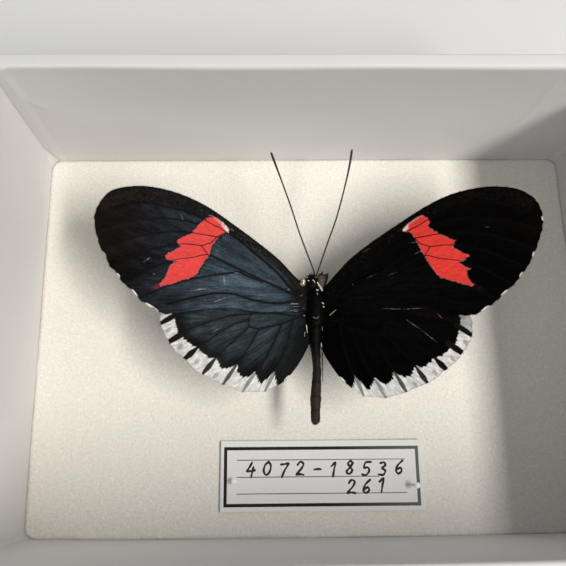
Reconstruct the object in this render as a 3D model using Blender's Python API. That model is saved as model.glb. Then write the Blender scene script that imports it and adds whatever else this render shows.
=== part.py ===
"""A spread butterfly pinned in a small open card box, with its label.

Lengths below are in millimetres and are scaled to metres when a mesh is made.
The origin is the middle of the box's underside. +X runs along the box, +Y towards
the insect's head and the back wall, +Z up.
"""
from math import cos, pi, radians, sin, sqrt, tan

import bmesh
import bpy
from mathutils import Matrix, Vector

MM = 0.001

# ---- card box and foam -------------------------------------------------------
BOX_LENGTH = 100.0
BOX_DEPTH = 72.0
BOX_HEIGHT = 41.0
WALL = 2.3
FLOOR = 2.3
OUTER_CORNER_RADIUS = 1.0
INNER_CORNER_RADIUS = 0.5
RIM_ROUNDING = 0.45
CORNER_STEPS = 4

GAP = 0.3                      # air between neighbouring pieces
FOAM_TOP = 10.5
FOAM_CORNER_RADIUS = 1.9
FOAM_EDGE = 0.5

# ---- label and its pins ------------------------------------------------------
LABEL_LENGTH = 33.7
LABEL_DEPTH = 11.35
LABEL_THICKNESS = 0.3
LABEL_CENTRE = (1.15, -23.8)
LABEL_TURN = -0.45             # degrees about +Z
PIN_HEAD_RADIUS = 0.5
PIN_HEAD_HEIGHT = 0.42
PIN_SHAFT_RADIUS = 0.17
PIN_DEPTH = 6.0                # how far a label pin goes into the foam
PIN_HOLE_RADIUS = 0.34
LABEL_PINS = {                 # x, y and height of the head's underside above the foam
    "label_pin_left": (-13.45, -24.5, 1.3),
    "label_pin_right": (16.5, -25.6, 2.25),
}

# ---- the insect's body, heights measured from the foam's top -----------------
BODY_X = 0.1                   # middle of the thorax
BODY_HEIGHT = 10.0
THORAX_Y = (-0.75, 5.35)
THORAX_HALF_WIDTH = 1.3
THORAX_HALF_HEIGHT = 1.65
SPECIMEN_PIN_Y = 2.4
SPECIMEN_PIN_RADIUS = 0.2
SPECIMEN_PIN_DEPTH = 6.5
SPECIMEN_BORE_TOP = 0.9        # above the thorax's middle

HEAD_CENTRE = (-0.28, 6.95, 10.3)
HEAD_HALF_SIZE = (0.62, 1.25, 0.9)
EYE_RADIUS = 0.6
EYES = {
    "eye_left": (-1.62, 6.98, 10.2),
    "eye_right": (1.08, 6.75, 9.3),
}
PALPS = {                      # root and tip of each palp's centre line
    "palp_left": ((1.05, 6.15, 10.75), (1.5, 8.75, 10.35)),
    "palp_right": ((1.75, 6.35, 10.5), (2.4, 8.45, 10.15)),
}
PALP_HALF_WIDTH = 0.34
PALP_HALF_HEIGHT = 0.22

TONGUE_CENTRE = (-0.1, 7.35, 8.35)
TONGUE_RADIUS = 0.13
TONGUE_INNER = 0.32
TONGUE_PITCH = 0.42            # growth of the coil per turn
TONGUE_TURNS = 1.75

ABDOMEN_Y = (-1.05, -16.05)
ABDOMEN_SEGMENTS = 7
ABDOMEN_HALF_WIDTH = 0.76
ABDOMEN_SPINE = [(0.0, 0.02, 9.75), (0.3, 0.08, 9.6), (0.6, 0.02, 9.3),
                 (0.85, -0.24, 9.0), (1.0, -0.3, 8.9)]   # share of length, x, height

# ---- wings -------------------------------------------------------------------
WING_MIDDLE_X = 0.15
WING_ROOT_X = 1.6              # root's distance from the wings' middle
WING_THICKNESS = 0.28
WING_SPAN = 34.0               # from the root to the forewing's tip
WING_RINGS = (0.4, 0.75, 1.0)

# Outlines are seen from above: outward from the root, forward from the root.
FOREWING = [
    (0.2, 1.6), (1.6, 3.5), (4.2, 6.3), (7.4, 9.0), (11.6, 12.0), (16.2, 15.0),
    (20.6, 17.05), (25.0, 18.05), (28.4, 17.95), (31.4, 17.0), (33.2, 15.2),
    (33.95, 13.0), (33.9, 11.0), (33.5, 9.4), (32.9, 7.8), (32.2, 6.4), (31.5, 4.9),
    (30.3, 3.3), (29.5, 2.2), (28.3, 1.1), (27.2, 0.15), (26.2, -1.0), (24.8, -1.85),
    (23.8, -2.35), (22.6, -2.95), (21.0, -3.0), (17.5, -2.5), (14.0, -2.05),
    (11.0, -2.1), (8.2, -2.5), (5.5, -2.55), (3.0, -2.2), (0.4, -1.6),
]
HINDWING = [
    (0.35, 1.6), (1.6, 2.6), (4.0, 3.5), (8.0, 4.6), (13.0, 5.1), (17.5, 4.7),
    (20.8, 3.6), (22.5, 2.1), (23.05, 0.6), (23.0, -1.2), (22.3, -3.1), (21.6, -4.1),
    (20.8, -5.4), (19.3, -6.75), (17.8, -8.3), (16.2, -9.1), (14.5, -10.2),
    (12.9, -10.9), (11.2, -11.5), (9.4, -11.75), (7.4, -11.7), (5.9, -11.2),
    (4.5, -10.35), (3.0, -9.1), (1.3, -6.95), (0.2, -5.1), (-0.05, -3.3), (0.3, -1.2),
]
FOREWING_HUB = (1.5, 0.4)
HINDWING_HUB = (1.5, 0.0)
WINGS = {   # outline, hub, side, root y, root height, rise in degrees, turn in degrees
    "forewing_left": (FOREWING, FOREWING_HUB, -1, 4.1, 10.6, 6.5, 0.0),
    "forewing_right": (FOREWING, FOREWING_HUB, 1, 3.45, 10.6, 11.0, -1.2),
    "hindwing_left": (HINDWING, HINDWING_HUB, -1, 0.9, 10.0, 6.0, 0.0),
    "hindwing_right": (HINDWING, HINDWING_HUB, 1, 0.55, 10.0, 8.5, -6.2),
}
WING_ARCH = 0.35               # share of the rise that is lost towards the tip

# ---- antennae and legs: centre lines, heights from the foam's top ------------
ANTENNAE = {
    "antenna_left": [(-0.12, 8.42, 10.95), (-1.1, 11.7, 11.3), (-2.29, 15.0, 11.6),
                     (-3.66, 19.4, 12.1), (-5.05, 23.55, 12.5), (-6.1, 26.6, 12.8),
                     (-6.83, 28.7, 13.0)],
    "antenna_right": [(0.42, 8.3, 10.95), (0.95, 9.7, 11.05), (2.33, 13.3, 11.5),
                      (3.99, 17.6, 12.0), (5.48, 22.8, 12.5), (6.4, 26.6, 12.8),
                      (6.87, 29.1, 13.0)],
}
ANTENNA_RADIUS = 0.11
CLUB_RADIUS = 0.2
CLUB_SHARE = 0.13              # share of the antenna's length that is club
LEGS = {   # hip, knee, ankle, end of the foot
    "leg_mid_left": [(-0.65, 3.2, 7.9), (-1.75, 4.6, 6.9), (-1.35, 1.2, 6.1), (-1.1, -1.9, 6.4)],
    "leg_mid_right": [(0.85, 3.2, 7.9), (1.95, 4.5, 6.8), (1.6, 1.1, 6.0), (1.45, -2.0, 6.3)],
    "leg_hind_left": [(-0.55, 0.7, 7.9), (-1.3, -0.9, 6.7), (-0.95, -4.4, 7.3), (-0.75, -7.2, 7.6)],
    "leg_hind_right": [(0.75, 0.7, 7.9), (1.45, -0.7, 7.0), (1.15, -5.0, 8.2), (1.05, -9.5, 8.7)],
}
THIGH_RADIUS = 0.2
SHIN_RADIUS = 0.15
FOOT_RADIUS = 0.1

# ---- finishes: colour, roughness, metallic -----------------------------------
FINISHES = {
    "card": ((0.80, 0.79, 0.77), 0.75, 0.0),
    "foam": ((0.84, 0.82, 0.77), 0.9, 0.0),
    "label": ((0.86, 0.85, 0.82), 0.8, 0.0),
    "steel": ((0.62, 0.62, 0.60), 0.25, 1.0),
    "body": ((0.02, 0.015, 0.013), 0.7, 0.0),
    "abdomen": ((0.05, 0.035, 0.03), 0.7, 0.0),
    "eye": ((0.32, 0.17, 0.06), 0.25, 0.0),
    "forewing": ((0.02, 0.03, 0.04), 0.5, 0.0),
    "hindwing": ((0.02, 0.03, 0.04), 0.5, 0.0),
    "antenna": ((0.03, 0.02, 0.015), 0.6, 0.0),
}


def clear_scene():
    for thing in list(bpy.data.objects):
        bpy.data.objects.remove(thing, do_unlink=True)


def finish(name):
    colour, roughness, metallic = FINISHES[name]
    material = bpy.data.materials.get(name) or bpy.data.materials.new(name)
    material.use_nodes = True
    shader = material.node_tree.nodes["Principled BSDF"]
    shader.inputs["Base Color"].default_value = (*colour, 1.0)
    shader.inputs["Roughness"].default_value = roughness
    shader.inputs["Metallic"].default_value = metallic
    return material


def add_piece(name, points, faces, finish_name, place=(0, 0, 0), turn=0.0, sharp=40.0):
    """One closed solid from points in millimetres, placed and turned about +Z."""
    mesh = bpy.data.meshes.new(name)
    mesh.from_pydata([Vector(p) * MM for p in points], [], faces)
    work = bmesh.new()
    work.from_mesh(mesh)
    bmesh.ops.recalc_face_normals(work, faces=work.faces)
    work.to_mesh(mesh)
    work.free()
    mesh.materials.append(finish(finish_name))
    mesh.shade_smooth()
    mesh.set_sharp_from_angle(angle=radians(sharp))
    piece = bpy.data.objects.new(name, mesh)
    piece.location = Vector(place) * MM
    piece.rotation_euler = (0.0, 0.0, radians(turn))
    bpy.context.scene.collection.objects.link(piece)
    return piece


def cut(piece, cutter):
    """Takes the cutter's shape out of the piece."""
    cutter.hide_render = True
    cutter.display_type = "WIRE"
    boolean = piece.modifiers.new("cut " + cutter.name, "BOOLEAN")
    boolean.operation = "DIFFERENCE"
    boolean.solver = "EXACT"
    boolean.object = cutter


def loft(rings, close_start=True, close_end=True):
    """Points and faces of a skin through rings of equal count, with flat end caps."""
    count = len(rings[0])
    points = [p for ring in rings for p in ring]
    faces = []
    for row in range(len(rings) - 1):
        low, high = row * count, (row + 1) * count
        for i in range(count):
            j = (i + 1) % count
            faces.append((low + i, low + j, high + j, high + i))
    if close_start:
        faces.append(tuple(range(count))[::-1])
    if close_end:
        last = (len(rings) - 1) * count
        faces.append(tuple(range(last, last + count)))
    return points, faces


def rounded_rectangle(length, depth, radius, z):
    ring = []
    centres = ((1, 1), (-1, 1), (-1, -1), (1, -1))
    for quarter, (sx, sy) in enumerate(centres):
        for step in range(CORNER_STEPS + 1):
            angle = (quarter + step / CORNER_STEPS) * pi / 2
            ring.append((sx * (length / 2 - radius) + radius * cos(angle),
                         sy * (depth / 2 - radius) + radius * sin(angle), z))
    return ring


def circle(radius, z, sides=12, x=0.0, y=0.0):
    return [(x + radius * cos(2 * pi * i / sides), y + radius * sin(2 * pi * i / sides), z)
            for i in range(sides)]


def smooth_path(controls, spans, closed=False):
    """Catmull-Rom curve through the controls, with this many spans between two of them."""
    count = len(controls)
    path = []
    for i in range(count if closed else count - 1):
        if closed:
            a, b, c, d = (Vector(controls[(i + k) % count]) for k in (-1, 0, 1, 2))
        else:
            b, c = Vector(controls[i]), Vector(controls[i + 1])
            a = Vector(controls[i - 1]) if i else b * 2 - c
            d = Vector(controls[i + 2]) if i + 2 < count else c * 2 - b
        for step in range(spans):
            t = step / spans
            path.append(0.5 * (2 * b + (c - a) * t + (2 * a - 5 * b + 4 * c - d) * t ** 2
                               + (3 * b - 3 * c + d - a) * t ** 3))
    if not closed:
        path.append(Vector(controls[-1]))
    return path


def tube_rings(path, radius_at, sides):
    """Rings square to the path; radius_at takes the share of the length from the start."""
    lengths = [0.0]
    for a, b in zip(path, path[1:]):
        lengths.append(lengths[-1] + (b - a).length)
    normal = None
    rings = []
    for i, point in enumerate(path):
        tangent = (path[min(i + 1, len(path) - 1)] - path[max(i - 1, 0)]).normalized()
        seed = normal if normal else tangent.orthogonal()
        normal = (seed - tangent * seed.dot(tangent)).normalized()
        across = tangent.cross(normal)
        radius = radius_at(lengths[i] / lengths[-1])
        rings.append([tuple(point + radius * (cos(a) * normal + sin(a) * across))
                      for a in (2 * pi * k / sides for k in range(sides))])
    return rings


def above_foam(point):
    return Vector((point[0], point[1], point[2] + FOAM_TOP))


# ---- box, foam and label -----------------------------------------------------
def make_box():
    inner_length = BOX_LENGTH - 2 * WALL
    inner_depth = BOX_DEPTH - 2 * WALL
    r = RIM_ROUNDING

    def outer(inset, z):
        return rounded_rectangle(BOX_LENGTH - 2 * inset, BOX_DEPTH - 2 * inset,
                                 OUTER_CORNER_RADIUS, z)

    def inner(outset, z):
        return rounded_rectangle(inner_length + 2 * outset, inner_depth + 2 * outset,
                                 INNER_CORNER_RADIUS, z)

    rings = [outer(r, 0.0), outer(r * 0.3, r * 0.3), outer(0.0, r)]
    rings += [outer(0.0, BOX_HEIGHT - r), outer(r * 0.3, BOX_HEIGHT - r * 0.3), outer(r, BOX_HEIGHT)]
    rings += [inner(r, BOX_HEIGHT), inner(r * 0.3, BOX_HEIGHT - r * 0.3), inner(0.0, BOX_HEIGHT - r)]
    rings += [inner(0.0, FLOOR)]
    add_piece("box_tray", *loft(rings), "card", sharp=50.0)


def pin_hole(name, x, y, low, high, radius):
    hole = add_piece(name, *loft([circle(radius, low), circle(radius, high)]), "steel",
                     place=(x, y, 0))
    return hole


def make_foam():
    length = BOX_LENGTH - 2 * WALL - 2 * GAP
    depth = BOX_DEPTH - 2 * WALL - 2 * GAP
    e = FOAM_EDGE

    def ring(inset, z):
        return rounded_rectangle(length - 2 * inset, depth - 2 * inset, FOAM_CORNER_RADIUS, z)

    low, high = FLOOR + GAP, FOAM_TOP
    rings = [ring(0.0, low), ring(0.0, high - e), ring(e * 0.3, high - e * 0.3), ring(e, high)]
    foam = add_piece("foam_base", *loft(rings), "foam", sharp=50.0)
    for name, (x, y, _) in LABEL_PINS.items():
        cut(foam, pin_hole(name + "_foam_hole", x, y, FOAM_TOP - PIN_DEPTH - GAP, FOAM_TOP + 1,
                           PIN_HOLE_RADIUS))
    cut(foam, pin_hole("specimen_foam_hole", BODY_X, SPECIMEN_PIN_Y,
                       FOAM_TOP - SPECIMEN_PIN_DEPTH - GAP, FOAM_TOP + 1,
                       SPECIMEN_PIN_RADIUS + 0.17))


def make_label():
    corner = 0.15
    low = FOAM_TOP + GAP
    high = low + LABEL_THICKNESS
    rings = [rounded_rectangle(LABEL_LENGTH, LABEL_DEPTH, corner, z) for z in (low, high)]
    label = add_piece("label_card", *loft(rings), "label", place=(*LABEL_CENTRE, 0),
                      turn=LABEL_TURN)
    for name, (x, y, _) in LABEL_PINS.items():
        cut(label, pin_hole(name + "_label_hole", x, y, low - 1, high + 1, PIN_HOLE_RADIUS))


def make_label_pin(name, x, y, head_height):
    """A short pin: shaft, then a low head with a domed top."""
    under = FOAM_TOP + head_height
    top = under + PIN_HEAD_HEIGHT
    point_end = FOAM_TOP - PIN_DEPTH
    rings = [circle(0.03, point_end), circle(PIN_SHAFT_RADIUS, point_end + 0.9),
             circle(PIN_SHAFT_RADIUS, under), circle(PIN_HEAD_RADIUS * 0.8, under),
             circle(PIN_HEAD_RADIUS, under + 0.12), circle(PIN_HEAD_RADIUS * 0.94, under + 0.24),
             circle(PIN_HEAD_RADIUS * 0.62, top - 0.05), circle(PIN_HEAD_RADIUS * 0.2, top)]
    add_piece(name, *loft(rings), "steel", place=(x, y, 0))


# ---- insect body -------------------------------------------------------------
def egg_rings(y_start, y_end, half_width, half_height, x, z, rows, sides, fullness=2.0):
    """Rings of a body that runs along Y, blunt at both ends."""
    rings = []
    for row in range(rows + 1):
        angle = pi * (0.04 + 0.92 * row / rows)
        swell = sin(angle) ** (1.0 / fullness * 1.6)
        y = y_start + (y_end - y_start) * (1 - cos(angle)) / 2
        rings.append([(x + half_width * swell * cos(a), y, z + half_height * swell * sin(a))
                      for a in (2 * pi * k / sides for k in range(sides))])
    return rings


def make_thorax():
    centre = FOAM_TOP + BODY_HEIGHT
    rings = egg_rings(*THORAX_Y, THORAX_HALF_WIDTH, THORAX_HALF_HEIGHT, BODY_X, centre, 12, 16)
    thorax = add_piece("thorax", *loft(rings), "body", sharp=60.0)
    bore = pin_hole("thorax_bore", BODY_X, SPECIMEN_PIN_Y, centre - THORAX_HALF_HEIGHT - 1,
                    centre + SPECIMEN_BORE_TOP + 0.15, SPECIMEN_PIN_RADIUS + 0.15)
    cut(thorax, bore)


def make_specimen_pin():
    low = FOAM_TOP - SPECIMEN_PIN_DEPTH
    top = FOAM_TOP + BODY_HEIGHT + SPECIMEN_BORE_TOP
    rings = [circle(0.03, low), circle(SPECIMEN_PIN_RADIUS, low + 1.2),
             circle(SPECIMEN_PIN_RADIUS, top)]
    add_piece("specimen_pin", *loft(rings), "steel", place=(BODY_X, SPECIMEN_PIN_Y, 0))


def make_head():
    x, y, z = above_foam(HEAD_CENTRE)
    width, length, height = HEAD_HALF_SIZE
    rings = egg_rings(y - length, y + length, width, height, x, z, 10, 14)
    add_piece("head", *loft(rings), "body", sharp=60.0)


def make_eye(name, centre):
    centre = above_foam(centre)
    rings = []
    rows = 10
    for row in range(1, rows):
        angle = pi * row / rows
        rings.append([(centre.x + EYE_RADIUS * cos(angle),
                       centre.y + EYE_RADIUS * sin(angle) * cos(a),
                       centre.z + EYE_RADIUS * sin(angle) * sin(a))
                      for a in (2 * pi * k / 14 for k in range(14))])
    add_piece(name, *loft(rings), "eye", sharp=60.0)


def make_palp(name, root, tip):
    root, tip = above_foam(root), above_foam(tip)
    path = [root.lerp(tip, i / 8) for i in range(9)]
    swell = [0.35, 0.8, 1.0, 1.0, 0.9, 0.72, 0.5, 0.3, 0.12]
    rings = tube_rings(path, lambda share: 1.0, 10)
    flat = []
    for centre, ring, size in zip(path, rings, swell):
        flat.append([(centre.x + (p[0] - centre.x) * PALP_HALF_WIDTH * size,
                      centre.y + (p[1] - centre.y) * PALP_HALF_WIDTH * size,
                      centre.z + (p[2] - centre.z) * PALP_HALF_HEIGHT * size) for p in ring])
    add_piece(name, *loft(flat), "body", sharp=60.0)


def make_tongue():
    """The tongue, coiled like a watch spring in the plane along the body."""
    centre = above_foam(TONGUE_CENTRE)
    steps = int(18 * TONGUE_TURNS)
    path = []
    for step in range(steps + 1):
        turn = TONGUE_TURNS * step / steps
        radius = TONGUE_INNER + TONGUE_PITCH * turn
        angle = radians(100) + 2 * pi * (TONGUE_TURNS - turn)
        path.append(centre + Vector((0.0, radius * cos(angle), radius * sin(angle))))
    rings = tube_rings(path, lambda share: TONGUE_RADIUS * (0.55 + 0.45 * share), 6)
    add_piece("proboscis", *loft(rings), "body", sharp=60.0)


def spine_at(share):
    """Abdomen centre line: x and height at a share of its length."""
    for (s0, x0, z0), (s1, x1, z1) in zip(ABDOMEN_SPINE, ABDOMEN_SPINE[1:]):
        if share <= s1:
            t = (share - s0) / (s1 - s0)
            return x0 + (x1 - x0) * t, z0 + (z1 - z0) * t
    return ABDOMEN_SPINE[-1][1:]


def make_abdomen():
    """A slim body of overlapping rings, narrow at the waist and blunt at the tip."""
    rings = []
    per_segment = 4
    rows = ABDOMEN_SEGMENTS * per_segment
    for row in range(rows + 1):
        share = row / rows
        x, z = spine_at(share)
        y = ABDOMEN_Y[0] + (ABDOMEN_Y[1] - ABDOMEN_Y[0]) * share
        waist = 0.62 + 0.38 * min(1.0, share / 0.1)
        tip = sqrt(max(0.06, 1 - max(0.0, (share - 0.93) / 0.07) ** 2))
        step = 1.0 - 0.075 * ((row % per_segment) / per_segment)
        size = waist * tip * step * (1.0 + 0.06 * sin(pi * share * 2.2))
        rings.append([(x + ABDOMEN_HALF_WIDTH * size * cos(a), y,
                       z + FOAM_TOP + ABDOMEN_HALF_WIDTH * 1.05 * size * sin(a))
                      for a in (2 * pi * k / 12 for k in range(12))])
    add_piece("abdomen", *loft(rings), "abdomen", sharp=60.0)


# ---- wings, antennae and legs ------------------------------------------------
def wing_rise(outward, rise):
    """Height above the root: steep at the root and flatter towards the tip."""
    return outward * tan(radians(rise)) * (1 + WING_ARCH - WING_ARCH * outward / WING_SPAN)


def make_wing(name, outline, hub, side, root_y, root_height, rise, turn):
    """A thin solid fanned out from a hub near the root, in rings out to the outline."""
    border = smooth_path(outline, 2, closed=True)
    hub = Vector(hub)
    spin = Matrix.Rotation(radians(turn), 2)

    def placed(point, lift):
        flat = spin @ point
        return (WING_MIDDLE_X + side * (WING_ROOT_X + flat.x * cos(radians(rise))),
                root_y + flat.y,
                FOAM_TOP + root_height + wing_rise(flat.x, rise) + lift)

    count = len(border)
    points, faces = [], []
    half = WING_THICKNESS / 2
    for lift in (half, -half):
        start = len(points)
        points.append(placed(hub, lift))
        for share in WING_RINGS:
            edge_lift = lift * (1.0 if share < 1.0 else 0.55)
            points += [placed(hub.lerp(p, share), edge_lift) for p in border]
        for i in range(count):
            j = (i + 1) % count
            faces.append((start, start + 1 + i, start + 1 + j))
            for ring in range(len(WING_RINGS) - 1):
                low, high = start + 1 + ring * count, start + 1 + (ring + 1) * count
                faces.append((low + i, high + i, high + j, low + j))
    rim = 1 + (len(WING_RINGS) - 1) * count
    under = rim + 1 + len(WING_RINGS) * count
    for i in range(count):
        j = (i + 1) % count
        faces.append((rim + i, under + i, under + j, rim + j))
    add_piece(name, points, faces, name.split("_")[0], sharp=35.0)


def make_antenna(name, controls):
    path = smooth_path([above_foam(p) for p in controls], 3)

    def radius_at(share):
        club = max(0.0, (share - (1 - CLUB_SHARE)) / CLUB_SHARE)
        swell = sin(min(1.0, club * 1.25) * pi / 2) ** 2
        close = sqrt(max(0.15, 1 - max(0.0, (club - 0.75) / 0.25) ** 2))
        return (ANTENNA_RADIUS + (CLUB_RADIUS - ANTENNA_RADIUS) * swell) * close

    add_piece(name, *loft(tube_rings(path, radius_at, 6)), "antenna", sharp=60.0)


def make_leg(name, joints):
    hip, knee, ankle, toe = (above_foam(p) for p in joints)
    path, sizes = [], []
    for a, b, start, end in ((hip, knee, THIGH_RADIUS, THIGH_RADIUS * 0.8),
                             (knee, ankle, SHIN_RADIUS, SHIN_RADIUS * 0.85),
                             (ankle, toe, FOOT_RADIUS, FOOT_RADIUS * 0.7)):
        for t in (0.04, 0.35, 0.65, 0.96):
            path.append(a.lerp(b, t))
            sizes.append(start + (end - start) * t)
    rings = tube_rings(path, lambda share: 1.0, 6)
    shaped = [[tuple(centre + (Vector(p) - centre) * size) for p in ring]
              for centre, ring, size in zip(path, rings, sizes)]
    add_piece(name, *loft(shaped), "body", sharp=60.0)


def main():
    clear_scene()
    make_box()
    make_foam()
    make_label()
    for name, place in LABEL_PINS.items():
        make_label_pin(name, *place)
    make_specimen_pin()
    make_thorax()
    make_head()
    for name, centre in EYES.items():
        make_eye(name, centre)
    for name, ends in PALPS.items():
        make_palp(name, *ends)
    make_tongue()
    make_abdomen()
    for name, shape in WINGS.items():
        make_wing(name, *shape)
    for name, controls in ANTENNAE.items():
        make_antenna(name, controls)
    for name, joints in LEGS.items():
        make_leg(name, joints)


main()
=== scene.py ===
from math import cos, pi, radians, sin, tan

import bpy
import numpy as np
from mathutils import Matrix, Vector, noise
from mathutils.geometry import delaunay_2d_cdt


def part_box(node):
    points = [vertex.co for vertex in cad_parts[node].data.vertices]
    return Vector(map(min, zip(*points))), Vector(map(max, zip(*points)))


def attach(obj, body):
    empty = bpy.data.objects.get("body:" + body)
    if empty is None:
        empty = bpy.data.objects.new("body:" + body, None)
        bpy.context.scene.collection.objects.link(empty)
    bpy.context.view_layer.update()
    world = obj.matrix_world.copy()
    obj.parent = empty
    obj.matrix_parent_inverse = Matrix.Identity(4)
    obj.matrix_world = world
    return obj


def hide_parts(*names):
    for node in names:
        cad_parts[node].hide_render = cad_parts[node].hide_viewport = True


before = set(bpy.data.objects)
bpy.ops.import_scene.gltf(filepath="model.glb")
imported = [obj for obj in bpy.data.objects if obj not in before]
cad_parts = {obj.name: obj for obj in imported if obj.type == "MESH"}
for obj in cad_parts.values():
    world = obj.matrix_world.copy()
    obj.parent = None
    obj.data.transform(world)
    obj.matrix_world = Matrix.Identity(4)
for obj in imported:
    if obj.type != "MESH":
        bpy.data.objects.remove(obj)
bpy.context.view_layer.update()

mm = 0.001
foamTop = 10.5
farAway = 99.0


# paths, outlines and distances, all in millimetres

def smoothPath(controls, spans, closed=False):
    controls = np.array(controls, float)
    count = len(controls)
    path = []
    for i in range(count if closed else count - 1):
        if closed:
            a, b, c, d = (controls[(i + k) % count] for k in (-1, 0, 1, 2))
        else:
            b, c = controls[i], controls[i + 1]
            a = controls[i - 1] if i else 2 * b - c
            d = controls[i + 2] if i + 2 < count else 2 * c - b
        for step in range(spans):
            t = step / spans
            path.append(0.5 * (2 * b + (c - a) * t + (2 * a - 5 * b + 4 * c - d) * t ** 2
                               + (3 * b - 3 * c + d - a) * t ** 3))
    if not closed:
        path.append(controls[-1])
    return np.array(path)


def toSegment(points, start, end):   # distance to one segment, and the share along it
    start, end = np.array(start, float), np.array(end, float)
    along = end - start
    share = np.clip((points - start) @ along / max(along @ along, 1e-12), 0, 1)
    return np.linalg.norm(points - start - share[:, None] * along, axis=1), share


def toPath(points, path, closed=False):
    best = np.full(len(points), farAway)
    for start, end in zip(path, np.roll(path, -1, axis=0) if closed else path[1:]):
        best = np.minimum(best, toSegment(points, start, end)[0])
    return best


def insideOf(points, outline):
    inside = np.zeros(len(points), bool)
    for (x0, y0), (x1, y1) in zip(outline, np.roll(outline, -1, axis=0)):
        if y0 != y1:
            crosses = (y0 > points[:, 1]) != (y1 > points[:, 1])
            inside ^= crosses & (points[:, 0] < x0 + (points[:, 1] - y0) / (y1 - y0) * (x1 - x0))
    return inside


def signedDistance(points, outline):   # positive inside the outline
    outline = np.array(outline, float)
    return np.where(insideOf(points, outline), 1, -1) * toPath(points, outline, closed=True)


def strokeField(points, strokes):   # (start, end, radii at start, middle and end, tone)
    field = np.full(len(points), -5.0)
    tone = np.zeros(len(points))
    for start, end, radii, strength in strokes:
        distance, share = toSegment(points, start, end)
        here = np.interp(share, (0, 0.5, 1), radii) - distance
        tone = np.where(here > field, strength, tone)
        field = np.maximum(field, here)
    return field, tone


def roughNoise(points, size, seed=0.0):   # smooth noise from -1 to 1 at points in millimetres
    shift = Vector((seed, seed, seed))
    return np.array([noise.noise(Vector(p).to_3d() / size + shift) for p in points])


def between(value, low, high):   # smooth step from 0 at low to 1 at high
    t = np.clip((value - low) / (high - low), 0, 1)
    return t * t * (3 - 2 * t)


# meshes

def addObject(name, data):
    item = bpy.data.objects.new(name, data)
    bpy.context.scene.collection.objects.link(item)
    return item


def makePiece(name, points, faces, material):
    mesh = bpy.data.meshes.new(name)
    mesh.from_pydata((np.asarray(points, float) * mm).tolist(), [], faces)
    mesh.calc_loop_triangles()
    corners = np.zeros(len(mesh.loop_triangles) * 3, int)
    mesh.loop_triangles.foreach_get("vertices", corners)
    a, b, c = np.asarray(points, float)[corners].reshape(-1, 3, 3).transpose(1, 0, 2)
    if np.einsum("ij,ij->i", a, np.cross(b, c)).sum() < 0:   # faces point outwards
        mesh.flip_normals()
    mesh.materials.append(material)
    mesh.shade_smooth()
    return addObject(name, mesh)


def storeValues(piece, **fields):   # numbers or vectors kept on a piece's points
    for name, values in fields.items():
        values = np.asarray(values, np.float32)
        kind, key = ("FLOAT", "value") if values.ndim == 1 else ("FLOAT_VECTOR", "vector")
        kept = piece.data.attributes
        (kept.get(name) or kept.new(name, kind, "POINT")).data.foreach_set(key, values.ravel())


def settle(piece, slotName, *replaced):
    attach(piece, "root")
    if replaced:
        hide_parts(*replaced)


def loft(rings):   # closed skin through rings of equal count, with a point at each end's middle
    rings = np.array(rings, float)
    rows, count, _ = rings.shape
    here = np.arange(count)
    beside = (here + 1) % count
    faces = []
    for row in range(rows - 1):
        low = row * count
        faces += np.stack([low + here, low + beside, low + count + beside, low + count + here], 1).tolist()
    first, last, top = rows * count, rows * count + 1, (rows - 1) * count
    faces += [(first, int(j), int(i)) for i, j in zip(here, beside)]
    faces += [(last, int(top + i), int(top + j)) for i, j in zip(here, beside)]
    points = np.vstack([rings.reshape(-1, 3), rings[0].mean(0), rings[-1].mean(0)])
    return points, faces


def fillOutline(outline, spacing):   # flat triangles inside an outline, on an even honeycomb
    low, high = outline.min(0), outline.max(0)
    rowStep = spacing * 0.866   # the height of an even triangle
    inner = []
    for row, y in enumerate(np.arange(low[1], high[1], rowStep)):
        xs = np.arange(low[0] + (row % 2) * spacing / 2, high[0], spacing)
        inner.append(np.stack([xs, np.full(len(xs), y)], 1))
    inner = np.vstack(inner)
    inner = inner[insideOf(inner, outline)]
    inner = inner[toPath(inner, outline, closed=True) > spacing * 0.55]
    flat = np.vstack([outline, inner])
    count = len(outline)
    points, _, faces, _, _, _ = delaunay_2d_cdt([Vector(p) for p in flat], [], [list(range(count))], 1, 1e-6)
    return np.array([tuple(p) for p in points]), [tuple(f) for f in faces], count


def makeSlab(name, top, under, faces, rim, material):   # a sheet from its upper and lower points
    total = len(top)
    if len(under) == rim:
        faces = faces + [tuple(total + i for i in reversed(range(rim)))]
    else:
        faces = faces + [tuple(total + i for i in reversed(f)) for f in faces]
    for i in range(rim):
        j = (i + 1) % rim
        faces.append((j, i, total + i, total + j))
    return makePiece(name, np.vstack([top, under]), faces, material)


# node trees: the last of openTrees is being built, and a wire is a node's output that takes part in sums

openTrees = []


class Wire:
    def __init__(self, socket):
        self.socket = socket

    def __add__(self, other):
        return maths("ADD", self, other)

    def __sub__(self, other):
        return maths("SUBTRACT", self, other)

    def __rsub__(self, other):
        return maths("SUBTRACT", other, self)

    def __mul__(self, other):
        return maths("MULTIPLY", self, other)

    def __truediv__(self, other):
        return maths("DIVIDE", self, other)

    def __rtruediv__(self, other):
        return maths("DIVIDE", other, self)

    def __abs__(self):
        return maths("ABSOLUTE", self)


def setInput(node, key, value):
    socket = node.inputs[key]
    if isinstance(value, Wire):
        openTrees[-1].links.new(value.socket, socket)
    else:
        socket.default_value = (*value, 1.0) if socket.type == "RGBA" else value


def addNode(kind, inputs=None, **settings):
    node = openTrees[-1].nodes.new(kind)
    for key, value in settings.items():
        setattr(node, key, value)
    for key, value in (inputs or {}).items():
        setInput(node, key, value)
    return node


def wire(kind, inputs=None, output=0, **settings):   # one output of a new node
    return Wire(addNode(kind, inputs, **settings).outputs[output])


def wires(kind, inputs=None, **settings):   # all outputs of a new node by name
    return {socket.name: Wire(socket) for socket in addNode(kind, inputs, **settings).outputs}


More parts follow.
